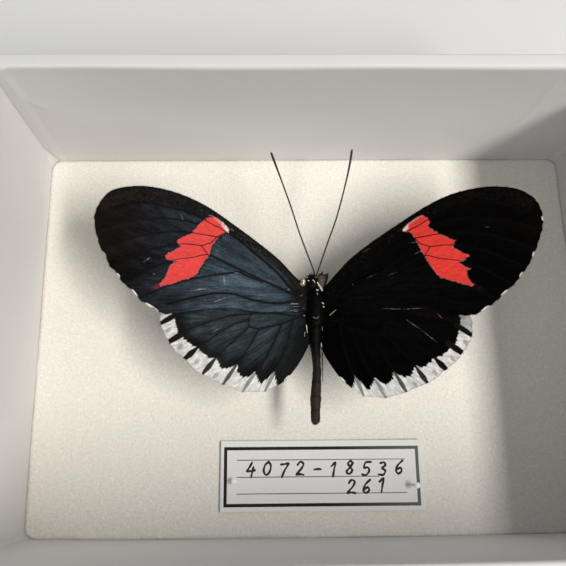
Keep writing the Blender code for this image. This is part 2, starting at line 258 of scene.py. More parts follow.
def maths(operation, a, b=0.0, c=0.0, clamp=False):
    return wire("ShaderNodeMath", {0: a, 1: b, 2: c}, operation=operation, use_clamp=clamp)


def vectorMaths(operation, a, b, output=0):
    second = "Scale" if operation == "SCALE" else 1
    return wire("ShaderNodeVectorMath", {0: a, second: b}, output, operation=operation)


def mixed(factor, a, b, blend="MIX"):
    return wire("ShaderNodeMix", {0: factor, 6: a, 7: b}, 2, data_type="RGBA", blend_type=blend)


def stepped(value, low, high, lowOut=0.0, highOut=1.0):
    limits = {0: value, 1: low, 2: high, 3: lowOut, 4: highOut}
    return wire("ShaderNodeMapRange", limits, interpolation_type="SMOOTHSTEP")


def scaled(value, low, high):   # a value from 0 to 1 spread from low to high
    return maths("MULTIPLY_ADD", value, high - low, low)


def shaded(base, value, low, high):   # base colour made darker and lighter by a value
    amount = scaled(value, low, high)
    return mixed(1.0, base, wire("ShaderNodeCombineColor", {0: amount, 1: amount, 2: amount}), "MULTIPLY")


def field(name):
    return wire("ShaderNodeAttribute", output="Fac", attribute_name=name)


def placed(stretch=(1.0, 1.0, 1.0)):   # object position in millimetres, stretched along axes
    where = wire("ShaderNodeTexCoord", output="Object")
    return wire("ShaderNodeMapping", {"Vector": where, "Scale": tuple(1000.0 / s for s in stretch)})


def axes(vector):
    return list(wires("ShaderNodeSeparateXYZ", {0: vector}).values())


def noiseAt(vector, size, detail=2.0, roughness=0.5):
    return wire("ShaderNodeTexNoise",
                {"Vector": vector, "Scale": 1.0 / size, "Detail": detail, "Roughness": roughness})


def openTree(name, kind, inputs):   # a new group's inputs as wires
    tree = bpy.data.node_groups.new(name, kind)
    openTrees.append(tree)
    for key, socketKind in inputs.items():
        tree.interface.new_socket(key, in_out="INPUT", socket_type="NodeSocket" + socketKind)
    return [Wire(socket) for socket in tree.nodes.new("NodeGroupInput").outputs[:len(inputs)]]


def closeTree(kind, result):
    openTrees[-1].interface.new_socket("Result", in_out="OUTPUT", socket_type="NodeSocket" + kind)
    addNode("NodeGroupOutput", {0: result})
    return openTrees.pop()


def openShaderTree(name, *inputs):
    return openTree(name, "ShaderNodeTree", dict.fromkeys(inputs, "Float"))


def buildRaggedEdge():   # a signed distance becomes a mask with a ragged, powdery edge
    distance, rough, grain, softness = openShaderTree("raggedEdge", "Distance", "Ragged", "Grain", "Softness")
    moved = distance + (noiseAt(placed(), grain, 3.0, 0.6) - 0.5) * rough
    return closeTree("Float", stepped(moved, softness * -1.0, softness))


def buildGrain():   # even noise at one size, with a chosen contrast about the middle
    size, contrast = openShaderTree("evenGrain", "Size", "Contrast")
    centred = noiseAt(placed(), size, 4.0, 0.6) - 0.5
    return closeTree("Float", maths("MULTIPLY_ADD", centred, contrast, 0.5, clamp=True))


def buildSpecks():   # scattered round specks, such as dust or foam cells
    size, radius, share = openShaderTree("specks", "Size", "Radius", "Share")
    cells = wires("ShaderNodeTexVoronoi", {"Vector": placed(), "Scale": 1.0 / size})
    draw = wire("ShaderNodeSeparateColor", {0: cells["Color"]})
    return closeTree("Float", stepped(cells["Distance"], radius, 0.0) * maths("LESS_THAN", draw, share))


def buildStreaks():   # noise drawn out along one value, such as rows of scales between veins
    across, along, width, length, low, high = openShaderTree(
        "streaks", "Across", "Along", "Width", "Length", "Low", "High")
    where = wire("ShaderNodeCombineXYZ", {0: across / width, 1: along / length})
    return closeTree("Float", stepped(noiseAt(where, 1.0, 2.0, 0.55), low, high))


groups = {
    "ragged": buildRaggedEdge(),
    "grain": buildGrain(),
    "specks": buildSpecks(),
    "streaks": buildStreaks(),
}


def placeGroup(name, *values):
    return wire("ShaderNodeGroup", dict(enumerate(values)), node_tree=groups[name])


def ragged(distance, rough, grain=0.3, softness=0.05):
    return placeGroup("ragged", distance, rough, grain, softness)


def grained(size, contrast=1.0):
    return placeGroup("grain", size, contrast)


def specked(size, radius, share):
    return placeGroup("specks", size, radius, share)


def streaked(width, length, low, high):   # rows along a wing's rays
    return placeGroup("streaks", field("ray"), field("along"), width, length, low, high)


def mottled(size, contrast, tone, dim):   # a colour with soft patches that are a little darker
    return mixed(grained(size, contrast), tuple(c * dim for c in tone), tone)


def openMaterial(name):
    material = bpy.data.materials.new(name)
    material.use_nodes = True
    openTrees.append(material.node_tree)
    return material


def closeMaterial(material, base, bump, roughness, specular, others=None):   # bump: height, strength, depth
    height, strength, depth = bump
    normal = wire("ShaderNodeBump", {"Height": height, "Strength": strength, "Distance": depth * mm})
    inputs = {"Base Color": base, "Normal": normal, "Roughness": roughness, "Specular IOR Level": specular}
    for key, value in (inputs | (others or {})).items():
        setInput(material.node_tree.nodes["Principled BSDF"], key, value)
    openTrees.pop()
    return material


def darkMaterial(name, dark, light, roughness, specular=0.1, size=0.35):
    material = openMaterial(name)
    base = mixed(grained(size, 1.8), dark, light)
    return closeMaterial(material, base, (grained(size * 0.5, 1.4), 0.5, 0.06), roughness, specular)


# geometry node trees

def carried(name, kind="FLOAT"):   # a value that the points bring along
    return wire("GeometryNodeInputNamedAttribute", {"Name": name}, data_type=kind)


def closeGeometry(geometry, material):
    smooth = wire("GeometryNodeSetShadeSmooth", {"Geometry": geometry})
    real = wire("GeometryNodeRealizeInstances", {"Geometry": smooth})
    return closeTree("Geometry", wire("GeometryNodeSetMaterial", {"Geometry": real, "Material": material}))


def buildTubeTree():   # round tubes along paths, whose points carry their thickness
    paths, spacing, sides, pitch, depth, material = openTree("tubeAlongPath", "GeometryNodeTree", {
        "Paths": "Geometry", "Spacing": "Float", "Sides": "Int", "Ring pitch": "Float", "Ring depth": "Float",
        "Material": "Material"})
    curve = wire("GeometryNodeMeshToCurve", {"Mesh": paths})
    even = wire("GeometryNodeResampleCurve", {"Curve": curve, "Length": spacing}, mode="LENGTH")
    turns = wire("GeometryNodeSplineParameter", output="Length") / pitch * (2 * pi)
    swell = maths("MULTIPLY_ADD", maths("SINE", turns), depth, 1.0)
    circle = wire("GeometryNodeCurvePrimitiveCircle", {"Resolution": sides, "Radius": 1.0})
    tube = wire("GeometryNodeCurveToMesh", {"Curve": even, "Profile Curve": circle, "Fill Caps": True,
                                            "Scale": carried("thickness") * swell})
    return closeGeometry(tube, material)


def buildFuzzTree():   # bent hairs, dense where the surface's "fuzz" value is high and laid along its "comb"
    surface, density, length, thickness, bend, lie, jitter, flow, seed, material = openTree(
        "fuzzOverSurface", "GeometryNodeTree", {
            "Surface": "Geometry", "Density": "Float", "Length": "Float", "Thickness": "Float",
            "Bend": "Float", "Lie": "Float", "Jitter": "Float", "Flow": "Vector", "Seed": "Int",
            "Material": "Material"})
    spread = wires("GeometryNodeDistributePointsOnFaces",
                   {"Mesh": surface, "Density": density * carried("fuzz"), "Seed": seed})
    cone = wire("GeometryNodeMeshCone", {"Vertices": 3, "Side Segments": 3, "Radius Top": 0.0,
                                         "Radius Bottom": thickness, "Depth": length})
    share = axes(wire("GeometryNodeInputPosition"))[2] / length
    bow = wire("ShaderNodeCombineXYZ", {0: share * share * bend * length})
    hair = wire("GeometryNodeSetPosition", {"Geometry": cone, "Offset": bow})
    stand = vectorMaths("SCALE", spread["Normal"], 1.0 - lie)
    lean = vectorMaths("SCALE", vectorMaths("ADD", flow, carried("comb", "FLOAT_VECTOR")), lie)
    shake = wire("FunctionNodeRandomValue", {0: (-1, -1, -1), 1: (1, 1, 1), 8: seed},
                 data_type="FLOAT_VECTOR")
    aim = vectorMaths("ADD", vectorMaths("ADD", stand, lean), vectorMaths("SCALE", shake, jitter))
    spin = wire("FunctionNodeRandomValue", {2: 0.0, 3: 2 * pi, 8: seed}, 1, data_type="FLOAT")
    start = wire("FunctionNodeEulerToRotation", {0: wire("ShaderNodeCombineXYZ", {2: spin})})
    turn = wire("FunctionNodeAlignRotationToVector", {"Rotation": start, "Vector": aim}, axis="Z")
    size = wire("FunctionNodeRandomValue", {2: 0.55, 3: 1.2, 8: seed + 5.0}, 1, data_type="FLOAT")
    hairs = wire("GeometryNodeInstanceOnPoints",
                 {"Points": spread["Points"], "Instance": hair, "Rotation": turn, "Scale": size})
    return closeGeometry(hairs, material)


tubeTree = buildTubeTree()
fuzzTree = buildFuzzTree()


def growNodes(name, guide, tree, settings):   # the tree's result as a plain mesh piece
    modifier = guide.modifiers.new(tree.name, "NODES")
    modifier.node_group = tree
    for item in tree.interface.items_tree:
        if item.in_out == "INPUT" and item.name in settings:
            modifier[item.identifier] = settings[item.name]
    seen = guide.evaluated_get(bpy.context.evaluated_depsgraph_get())
    grown = bpy.data.meshes.new_from_object(seen)
    guide.modifiers.remove(modifier)
    grown.name = name
    return addObject(name, grown)


def makeTubes(name, paths, material, look):
    points, edges, thickness = [], [], []
    for path, radii in paths:
        start = len(points)
        points += [tuple(p) for p in np.array(path) * mm]
        thickness += list(np.array(radii) * mm)
        edges += [(start + i, start + i + 1) for i in range(len(path) - 1)]
    mesh = bpy.data.meshes.new(name + "Path")
    mesh.from_pydata(points, edges, [])
    guide = addObject(name + "Path", mesh)
    storeValues(guide, thickness=thickness)
    tubes = growNodes(name, guide, tubeTree, {
        "Spacing": look["spacing"] * mm, "Sides": look["sides"], "Material": material,
        "Ring pitch": look.get("ringPitch", 1.0) * mm, "Ring depth": look.get("ringDepth", 0.0)})
    bpy.data.objects.remove(guide)
    return tubes


def growFuzz(name, surface, fuzz, look, material):
    storeValues(surface, fuzz=fuzz)
    return growNodes(name, surface, fuzzTree, {
        "Density": look["perMm"] * 1e6, "Length": look["length"] * mm, "Thickness": look["thickness"] * mm,
        "Bend": look["bend"], "Lie": look["lie"], "Jitter": look["jitter"], "Flow": look["flow"],
        "Seed": look["seed"], "Material": material})


def makeFurred(name, rings, skin, slotName, look, hair, **fields):   # a closed body with fuzz all over
    piece = makePiece(name + "_skin", *loft(rings), skin)
    storeValues(piece, **fields)
    settle(piece, slotName, name)
    fuzz = growFuzz(name + "_fuzz", piece, np.ones(len(piece.data.vertices)), look, hair)
    settle(fuzz, slotName)


# card box

boxLook = {
    "length": 100.0, "depth": 72.0, "height": 41.0, "wall": 2.3, "floor": 2.3,
    "outerCorner": 1.0, "innerCorner": 0.5, "rimRounding": 0.45,
    "cornerAtFoam": 1.9, "cornerReach": 4.5,   # the inner corners are rounder near the foam
    "frontPad": ((-47, -30, -12, 5, 20), (0.7, 0.3, 0.18, 0.08, 0.0)),   # the front's paper stands in
    "leftPad": 0.27,                # the left wall's paper stands in, at its front end
    "padFrom": (43.0, 29.0), "padRamp": 4.0,   # both start this far from the middle, over a short ramp
    "padFade": (12.0, 0.7),         # from this height on they lose so much of their depth
    "unevenness": 0.1,              # how far the inner faces wander inwards
    "lapFrom": 45.25, "paperLap": 0.14,        # place and thickness of the paper's lap beside a corner
    # a path on the back wall, its height and its reach
    "wrinkle": ([(-45.6, 27.0), (-45.4, 22.3), (-44.25, 20.5), (-42.6, 18.8)], 0.12, 0.42),
    "crease": ([(36.7, 25.9), (36.5, 20.4), (35.7, 14.1), (35.2, 9.5)], 0.1, 0.5),
    "rimDip": 0.12,
    "white": (0.685, 0.674, 0.66),
}


def boxOutline(length, depth, radius, alongX=190, alongY=134, corner=6):   # a rectangle with round corners
    def onCorner(quarter, share):
        alongSide, acrossSide = ((1, 1), (-1, 1), (-1, -1), (1, -1))[quarter % 4]
        angle = (quarter + share) * pi / 2
        return np.array([alongSide * (length / 2 - radius) + radius * cos(angle),
                         acrossSide * (depth / 2 - radius) + radius * sin(angle)])

    outline = []
    for quarter, count in enumerate((alongX, alongY, alongX, alongY)):
        outline += [onCorner(quarter, step / corner) for step in range(corner + 1)]
        begin, target = outline[-1], onCorner(quarter + 1, 0)
        outline += [begin + (target - begin) * step / count for step in range(1, count)]
    return np.array(outline)


def paperMaterial():
    material = openMaterial("coveringPaper")
    fibres = noiseAt(placed((1.0, 1.0, 1.6)), 0.22, 4.0, 0.62)
    base = shaded(mottled(9.0, 1.6, boxLook["white"], 0.965), fibres, 0.96, 1.03)
    base = mixed(specked(2.6, 0.09, 0.22) * 0.28, base, (0.38, 0.35, 0.31))
    return closeMaterial(material, base, (fibres + grained(1.3) * 1.2, 0.35, 0.05), 0.62, 0.35)


def fitted(flat, amount=1.0):   # the outline inside the box, where its paper stands in at the front and left
    look = boxLook
    x, y = flat.T
    fromX, fromY = look["padFrom"]
    innerDepth = look["depth"] - 2 * look["wall"]
    front = np.interp(x, *look["frontPad"]) * between(-y, fromY, fromY + look["padRamp"])
    left = look["leftPad"] * (0.5 - y / innerDepth) * between(-x, fromX, fromX + look["padRamp"])
    return flat + amount * np.column_stack([left, front])


def boxRows():   # the skin's outlines and heights, up outside, over the rim and down inside
    look = boxLook
    r, top = look["rimRounding"], look["height"]
    cornerHeights = (foamTop, foamTop + look["cornerReach"])

    def outer(inset, z):
        return boxOutline(look["length"] - 2 * inset, look["depth"] - 2 * inset, look["outerCorner"]), z

    def inner(outset, z):
        corner = np.interp(z, cornerHeights, (look["cornerAtFoam"], look["innerCorner"]))
        within = 2 * (look["wall"] - outset)
        return boxOutline(look["length"] - within, look["depth"] - within, corner), z

    outside = [outer(r, 0.0), outer(r * 0.3, r * 0.3), outer(0.0, r)]
    outside += [outer(0.0, z) for z in np.linspace(r, top - r, 16)[1:]]
    outside += [outer(r * (1 - cos(a)), top - r + r * sin(a)) for a in np.linspace(0, pi / 2, 5)[1:]]
    inside = [inner(r * (1 - sin(a)), top - r + r * cos(a)) for a in np.linspace(0, pi / 2, 5)]
    inside += [inner(0.0, z) for z in np.linspace(top - r, look["floor"], 78)[1:]]
    return outside, inside


def papered(flat, z):   # the wrapped paper isn't quite flat
    look = boxLook
    x, y = flat.T
    halfX, halfY = look["length"] / 2 - look["wall"], look["depth"] / 2 - look["wall"]
    wander = 0.5 + 0.25 * np.sin(x * 0.13 + z * 0.21 + 1.0) + 0.25 * np.sin(y * 0.19 - z * 0.13 + x * 0.05)
    onBack = np.abs(y - halfY) < 0.02
    push = look["unevenness"] * wander + np.where(onBack, backWallRelief(x, z - foamTop), 0.0)
    onFace = np.column_stack([np.abs(np.abs(x) - halfX) < 0.02, np.abs(np.abs(y) - halfY) < 0.02])
    fadeFrom, fade = look["padFade"]
    pushed = flat - np.sign(flat) * push[:, None] * onFace
    return fitted(pushed, 1 - fade * between(z, fadeFrom, look["height"]))


def backWallRelief(x, h):   # the paper's lap at the left corner, a short wrinkle and a crease
    points = np.column_stack([x, np.full(len(x), h)])
    relief = boxLook["paperLap"] * between(-x, boxLook["lapFrom"], boxLook["lapFrom"] + 0.2)
    for controls, height, reach in (boxLook["wrinkle"], boxLook["crease"]):
        relief = relief + height * np.exp(-(toPath(points, smoothPath(controls, 4)) / reach) ** 2)
    return relief


def makeBox():
    outside, inside = boxRows()
    rings = []
    for flat, z in outside + [(papered(flat, z), z) for flat, z in inside]:
        nearRim = z > boxLook["height"] - 1.5
        dip = boxLook["rimDip"] * (0.5 + 0.5 * np.sin(flat[:, 0] * 0.16 + flat[:, 1] * 0.1)) * nearRim
        rings.append(np.column_stack([flat, z - dip]))
    box = makePiece("card_tray", *loft(rings), paperMaterial())
    settle(box, "card", "box_tray")


# foam

foamLook = {
    "left": -47.68, "right": 47.66, "front": -33.68, "back": 33.68,
    "corner": 2.0, "edge": 0.2, "spacing": 0.46,
    "lumps": ((0.8, 3.0, 0.05), (11.0, 8.0, 0.07)),   # size, seed and depth of the surface's lumps
    "sink": 0.03, "floorGap": 0.3, "waver": 0.0008,
    "white": (0.845, 0.812, 0.742),
}


def foamMaterial():
    material = openMaterial("whiteFoam")
    base = shaded(mottled(16.0, 1.5, foamLook["white"], 0.97), grained(0.42, 2.2), 0.86, 1.06)
    # the foam's cells are dented by the bump and painted darker: painted shade in the pores
    cells = specked(0.55, 0.42, 0.6)
    base = mixed(cells * 0.22, base, (0.6, 0.57, 0.5))
    # painted sparkle: small bright specks where the foam catches the light
    base = mixed(specked(0.85, 0.34, 0.42) * 0.65, base, (0.96, 0.94, 0.89))
    return closeMaterial(material, base, (grained(0.5, 1.4) + cells * -0.6, 0.5, 0.12), 0.72, 0.3)


def makeFoam():
    look = foamLook
    width, depth = look["right"] - look["left"], look["back"] - look["front"]
    middle = np.array([look["right"] + look["left"], look["back"] + look["front"]]) / 2
    outline = boxOutline(width, depth, look["corner"], 180, 126, 10) + middle
    wander = look["waver"] * np.sin(outline[:, 0] * 0.37 + 1.3) * np.sin(outline[:, 1] * 0.41)
    outline = fitted(outline * (1 - wander[:, None]))

    flat, faces, rim = fillOutline(outline, look["spacing"])
    fromEdge = np.clip(toPath(flat, outline, closed=True) / look["edge"], 0, 1)
    rounding = look["edge"] * (1 - np.sqrt(1 - (1 - fromEdge) ** 2))
    lumps = sum(height * roughNoise(flat, size, seed) for size, seed, height in look["lumps"])
    top = np.column_stack([flat, foamTop - look["sink"] - rounding + lumps])
    under = np.column_stack([flat[:rim], np.full(rim, boxLook["floor"] + look["floorGap"])])
    settle(makeSlab("foam_pad", top, under, faces, rim, foamMaterial()), "foam", "foam_base")


# label

labelLook = {
    "length": 33.7, "depth": 11.35, "thickness": 0.2, "centre": (1.15, -23.8), "turn": -0.45,
    "corner": 0.15, "spacing": 0.13,
    "curl": (0.12, 0.12, 0.2, 0.06),   # lift, and its growth along, along squared and across squared
    "curlReach": (16.8, 5.6),
    "border": (-16.3, 16.2, -4.9, 4.67), "borderWidth": 0.53,
    "ruledLines": ((2.53, -14.15, 13.9), (-0.2, -14.15, 9.5), (-2.85, -14.15, 14.0)),
    "ruledWidth": 0.135,
    "numberHeight": 2.1, "penRadius": 0.17, "penSlant": 0.16,
    "firstRow": ("4072-18536", -12.6, 0.02, 2.75), "secondRow": ("261", 4.1, -2.8, 2.5),
    "paper": (0.8, 0.8, 0.79), "ink": (0.004, 0.0035, 0.0035),
}

penNumbers = {   # strokes of each number in its own square, one high
    "0": [[(0.3, 1), (0.06, 0.74), (0.03, 0.3), (0.25, 0), (0.5, 0.24), (0.53, 0.7), (0.33, 1)]],
    "1": [[(0.08, 0.74), (0.36, 1.02), (0.34, 0.5), (0.32, -0.03)]],
    "2": [[(0.02, 0.76), (0.2, 0.99), (0.47, 0.86), (0.38, 0.5), (0.02, 0.03), (0.3, 0.05), (0.62, 0)]],
    "3": [[(0.05, 0.92), (0.34, 0.98), (0.44, 0.74), (0.2, 0.55), (0.5, 0.34), (0.36, 0.02), (0, 0.06)]],
    "4": [
        [(0.3, 1), (0.16, 0.66), (0, 0.36), (0.3, 0.37), (0.62, 0.42)],
        [(0.47, 0.66), (0.43, 0.3), (0.41, -0.1)]],
    "5": [[(0.58, 1.02), (0.16, 0.97), (0.1, 0.58), (0.4, 0.6), (0.52, 0.3), (0.3, 0), (0, 0.07)]],
    "6": [[(0.48, 1), (0.16, 0.66), (0.05, 0.24), (0.26, 0), (0.5, 0.2), (0.38, 0.44), (0.1, 0.3)]],
    "7": [[(0, 0.92), (0.3, 0.95), (0.58, 0.98), (0.34, 0.46), (0.2, -0.04)]],
    "8": [
        [
            (0.46, 0.86), (0.26, 1), (0.1, 0.8), (0.3, 0.54), (0.5, 0.26), (0.28, 0), (0.06, 0.2),
            (0.3, 0.52), (0.48, 0.84)]],
    "-": [[(0.08, 0.42), (0.34, 0.46), (0.62, 0.44)]],
}


def penStrokes():   # the number rows as pen lines in the label's own millimetres
    look = labelLook
    strokes = []
    for text, x, y, advance in (look["firstRow"], look["secondRow"]):
        for place, sign in enumerate(text):
            wobble = 0.16 * sin(place * 2.3 + y)
            for line in penNumbers[sign]:
                path = smoothPath(line, 4) * look["numberHeight"]
                path[:, 0] += x + place * advance + path[:, 1] * look["penSlant"]
                path[:, 1] += y + wobble
                for k, (start, end) in enumerate(zip(path, path[1:])):
                    weight = look["penRadius"] * (1.0 + 0.18 * sin(k * 0.9 + place))
                    strokes.append((start, end, (weight,) * 3, 1.0))
    return strokes


def labelMaterial():
    look = labelLook
    material = openMaterial("printedLabel")
    x, y = field("along"), field("across")
    left, right, low, high = look["border"]
    toSides = (right - left) / 2 - abs(x - (left + right) / 2)
    toEnds = (high - low) / 2 - abs(y - (low + high) / 2)
    half = look["borderWidth"] / 2
    fromLine = half - abs(maths("MINIMUM", toSides, toEnds) - half)
    ink = ragged(fromLine, 0.07, 0.25, 0.02) * stepped(x, 0.0, right + 4.0, 1.0, 0.84)
    for lineY, start, end in look["ruledLines"]:
        away = look["ruledWidth"] / 2 - abs(y - lineY)
        reach = maths("MINIMUM", x - start, end - x)
        line = ragged(maths("MINIMUM", away, reach), 0.03, 0.3, 0.025)
        ink = maths("MAXIMUM", ink, line * stepped(x, -10.0, 12.0, 0.97, 0.85))
    ink = maths("MAXIMUM", ink, ragged(field("pen"), 0.05, 0.2, 0.03) * 0.99)
    ink = ink * stepped(field("upper"), 0.4, 0.6) * scaled(grained(0.25, 1.5), 0.975, 1.0)
    paper = shaded(look["paper"], grained(0.3, 1.4), 0.96, 1.02)
    base = mixed(ink, paper, look["ink"])
    return closeMaterial(material, base, (grained(0.2, 1.2), 0.25, 0.03), 0.65, 0.15)


def makeLabel():
    look = labelLook
    outline = boxOutline(look["length"], look["depth"], look["corner"], 200, 68, 2)
    turn = radians(look["turn"])

    flat, faces, rim = fillOutline(outline, look["spacing"])
    x, y = flat.T
    u, v = x / look["curlReach"][0], y / look["curlReach"][1]
    lift, slope, bow, cup = look["curl"]
    curl = lift + bow * u ** 2 + slope * u + cup * v ** 2
    across = look["centre"][0] + x * cos(turn) - y * sin(turn)
    along = look["centre"][1] + x * sin(turn) + y * cos(turn)
    under = np.column_stack([across, along, foamTop + curl])
    label = makeSlab("label_paper", under + (0, 0, look["thickness"]), under, faces, rim, labelMaterial())
    pen, _ = strokeField(flat, penStrokes())
    upper = np.arange(2 * len(flat)) < len(flat)
    storeValues(label, along=np.tile(x, 2), across=np.tile(y, 2), pen=np.tile(pen, 2), upper=upper)
    settle(label, "label", "label_card")


# wings: an outline and a pattern in each wing's own millimetres, outward and forward from its root

wingsLook = {
    "middleX": 0.15, "rootX": 1.6, "span": 34.0, "arch": 0.35,
    "thickness": 0.1, "spacing": 0.165, "sag": 0.11, "waviness": 0.12,
    "veinRadius": 0.085, "veinTip": 0.05, "leadRadii": (0.16, 0.06), "leadInset": (0.06, -0.1),
    "veinTubes": {"spacing": 0.45, "sides": 6},
    "sagReach": 0.8,                 # the skin sags beyond this distance from a vein
    "edgeReach": 0.13, "edgeFrom": 3.0,   # width of the strip that carries the fringe, and where it starts
    "rootHairReach": 1.9, "rootHairEnd": 4.5, "underside": 0.3,   # the underside has less of the root hair
}

wingPlaces = {   # side, root y, root height, rise in degrees, turn in degrees
    "forewing_left": (-1, 4.1, 10.6, 6.5, 0.0),
    "forewing_right": (1, 3.45, 10.6, 11.0, -1.2),
    "hindwing_left": (-1, 0.9, 10.0, 6.0, 0.0),
    "hindwing_right": (1, 0.55, 10.0, 8.5, -6.2),
}

# edges that a left and a right wing share
forewingRear = [
    (17.5, -2.5), (14, -2.05), (11, -2.1), (8.2, -2.5), (5.5, -2.55), (3, -2.4), (0.5, -2.3), (-0.9, -1.7),
    (-1.25, 0)]
hindwingFront = [
    (-0.4, 1.1), (0.35, 1.7), (1.6, 2.6), (4, 3.5), (8, 4.6), (13, 5.1), (17.5, 4.7), (20.8, 3.6),
    (22.5, 2.1)]
wingOutlines = {
    "forewing_left": [
        (-1.2, 1.4), (0.2, 2.25), (1.7, 3.45), (4.25, 6.2), (7.5, 8.9), (11.6, 12), (16.15, 15.1),
        (20.55, 17.15), (25, 18.15), (28.45, 18.15), (31.55, 17.3), (33.3, 15.25), (34.05, 13), (33.8, 11),
        (33.4, 9.4), (32.9, 7.8), (32, 6.5), (31.4, 4.95), (30.1, 3.45), (29.4, 2.3), (28.2, 1.2),
        (27.2, 0.15), (26.15, -0.9), (24.8, -1.9), (23.75, -2.3), (22.6, -3), (21, -3)] + forewingRear,
    "forewing_right": [
        (-1.2, 1.1), (-0.3, 2.2), (1.2, 3.85), (3.85, 6.65), (7.2, 9.25), (11.55, 12.1), (16.2, 15),
        (20.6, 17), (25, 17.95), (28.4, 17.95), (31.5, 17.2), (33.75, 15.55), (34.7, 13.1), (34.55, 10.9),
        (34, 9.25), (33.35, 7.6), (32.65, 6.15), (31.8, 4.7), (30.55, 3.1), (29.7, 2), (28.5, 0.9),
        (27.45, -0.1), (26.25, -1.05), (24.95, -2.1), (23.95, -2.65), (22.65, -3.1),
        (21, -3.1)] + forewingRear,
    "hindwing_left": hindwingFront + [
        (23.05, 0.6), (23, -1.2), (22.3, -3.1), (21.6, -4.1), (20.8, -5.4), (19.25, -6.65), (17.8, -8.3),
        (16.25, -9.2), (14.5, -10.2), (12.9, -10.9), (11.2, -11.55), (9.4, -11.85), (7.4, -11.8),
        (5.7, -11.3), (4.25, -10.6), (2.75, -9.3), (1.1, -7.1), (0.05, -5.2), (-0.75, -3.5), (-1.05, -1.8),
        (-1.1, -0.4), (-0.9, 0.4)],
    "hindwing_right": hindwingFront + [
        (22.9, 0.6), (22.8, -1.2), (22.1, -3.1), (21.4, -4), (20.6, -5.3), (19.15, -6.6), (17.6, -8.15),
        (16.2, -9.1), (14.4, -10), (12.85, -10.8), (11.2, -11.4), (9.4, -11.75), (7.4, -11.7),
        (5.9, -11.2), (4.5, -10.4), (2.95, -9.2), (1.15, -7.05), (-0.1, -5.2), (-0.85, -3.5),
        (-1.15, -1.8), (-1.2, -0.4), (-0.9, 0.4)],
}
forewingVeins = {   # a level that grows from the trailing to the leading edge, and the vein's path
    "radius": (12, [
        (-0.4, 0.2), (0.6, 0.4), (2.2, 1.2), (4.6, 4), (7.6, 6.6), (10.8, 9.35), (12.6, 10.5),
        (14.2, 11.5), (14.9, 11.75), (18.2, 13.6), (22.3, 14.7), (25.5, 15.3), (28.5, 15.1), (31, 14)]),
    "cubitus": (3, [
        (-0.4, 0), (0.5, 0), (2, 0.4), (5.2, 1.85), (8.7, 3.45), (12.3, 5.05), (15.7, 6.7), (18.1, 6.25),
        (21.2, 5.7), (23.6, 4.75), (25.1, 4.1), (28.4, 1.9)]),
    "cross": (None, [(13, 10.6), (14.5, 9.7), (15.3, 8.8), (16.7, 8.2), (16.1, 7.1), (15.7, 6.7)]),
    "first": (9, [(17.4, 11.85), (19, 12.25), (22.2, 12.7), (25.4, 12.6), (29.5, 12), (33.4, 10.6)]),
    "second": (7, [(13.8, 9.7), (17.4, 10.2), (20.6, 10.45), (23.8, 10.2), (28, 9.3), (32.3, 7.6)]),
    "third": (5, [(16.7, 8.2), (19.7, 8.4), (22.9, 7.85), (26, 6.9), (30.8, 4.5)]),
    "branch": (0, [
        (7.06, 2.4), (9.5, 3.3), (10.8, 3.9), (12.5, 3.7), (16.7, 3), (20.4, 2.1), (23.5, 0.8),
        (26.2, -0.6)]),
    "anal": (-3, [
        (-0.4, -0.3), (0.6, -0.5), (1.5, -0.6), (4.7, -1.1), (8.4, -0.65), (11.6, 0.25), (14.8, 0.3),
        (18, -0.4), (22.2, -1.6)]),
}
hindwingVeins = {
    "cell": (None, [
        (-0.4, 0.2), (1.2, 0.05), (4.4, 0.55), (8.3, 0.5), (9.2, -0.1), (9.3, -0.5), (9.2, -1.55),
        (7.6, -1.9), (5.4, -1.45), (3.55, -1), (2.5, -0.5), (1.1, -0.1), (-0.3, 0)]),
    "costal": (7, [(-0.3, 0.6), (1.2, 1), (5, 2.2), (9.5, 2.9), (14.5, 3), (19, 2), (22.6, 0.6)]),
    "first": (4, [(8.3, 0.5), (11.3, 0.2), (14.3, -0.5), (18.8, -2.25), (21.6, -4.05)]),
    "second": (1, [(9.3, -0.5), (12.3, -1.6), (16.4, -4.5), (19.3, -6.7)]),
    "third": (-2, [(9.2, -1.7), (11.8, -4), (14.25, -6.5), (16.3, -8.9)]),
    "fourth": (-5, [(7.6, -1.9), (9.1, -4.6), (11, -7.5), (13.2, -10.7)]),
    "fifth": (-8, [(4, -1.1), (5.45, -4.4), (7.5, -8.1), (9.9, -11.5)]),
    "inner": (-11, [(2.2, -0.6), (3.2, -4.3), (4.7, -7.9), (6.4, -11.3)]),
}
veinLines = {   # half width of the dark scales along the veins, by distance from the root
    "forewing": ((0, 6, 20, 34), (0.25, 0.18, 0.13, 0.09)),
    "hindwing": ((0, 6, 14, 23), (0.15, 0.13, 0.11, 0.1)),
}
bandStrokes = [   # the pale spot before the red band, and its faint tail
    ((15.2, 13.45), (15.9, 13.5), (0.04, 0.1, 0.03), 1.0),
    ((22.5, 1.95), (24.4, 0.95), (0.45, 0.3, 0.1), 1.0),
]
sheenByLevel = {   # the painted sheen's strength in the cells between veins, by their level
    "forewing": ((-6, -3, -1, 1.5, 3.2, 6, 9, 12), (0.9, 1.0, 1.3, 1.6, 1.0, 0.88, 1.0, 0.9)),
    "hindwing": ((-11, -8, -5, -2, 1, 7), (0.4, 0.6, 0.85, 0.9, 1.0, 0.9)),
}
edgeTeeth = {   # points of the edge that stand out, how far, and their reach
    "forewing": ([
        (33.4, 10.6), (32.3, 7.6), (30.8, 4.5), (28.4, 1.9), (26.2, -0.6), (23.2, -2.4)], 0.12, 0.7),
    "hindwing": ([
        (23.2, -1.3), (21.9, -4.3), (19.5, -7.1), (16.7, -9.5), (13.6, -11.25), (10.3, -12), (6.8, -11.8)],
        0.24, 0.5),
}
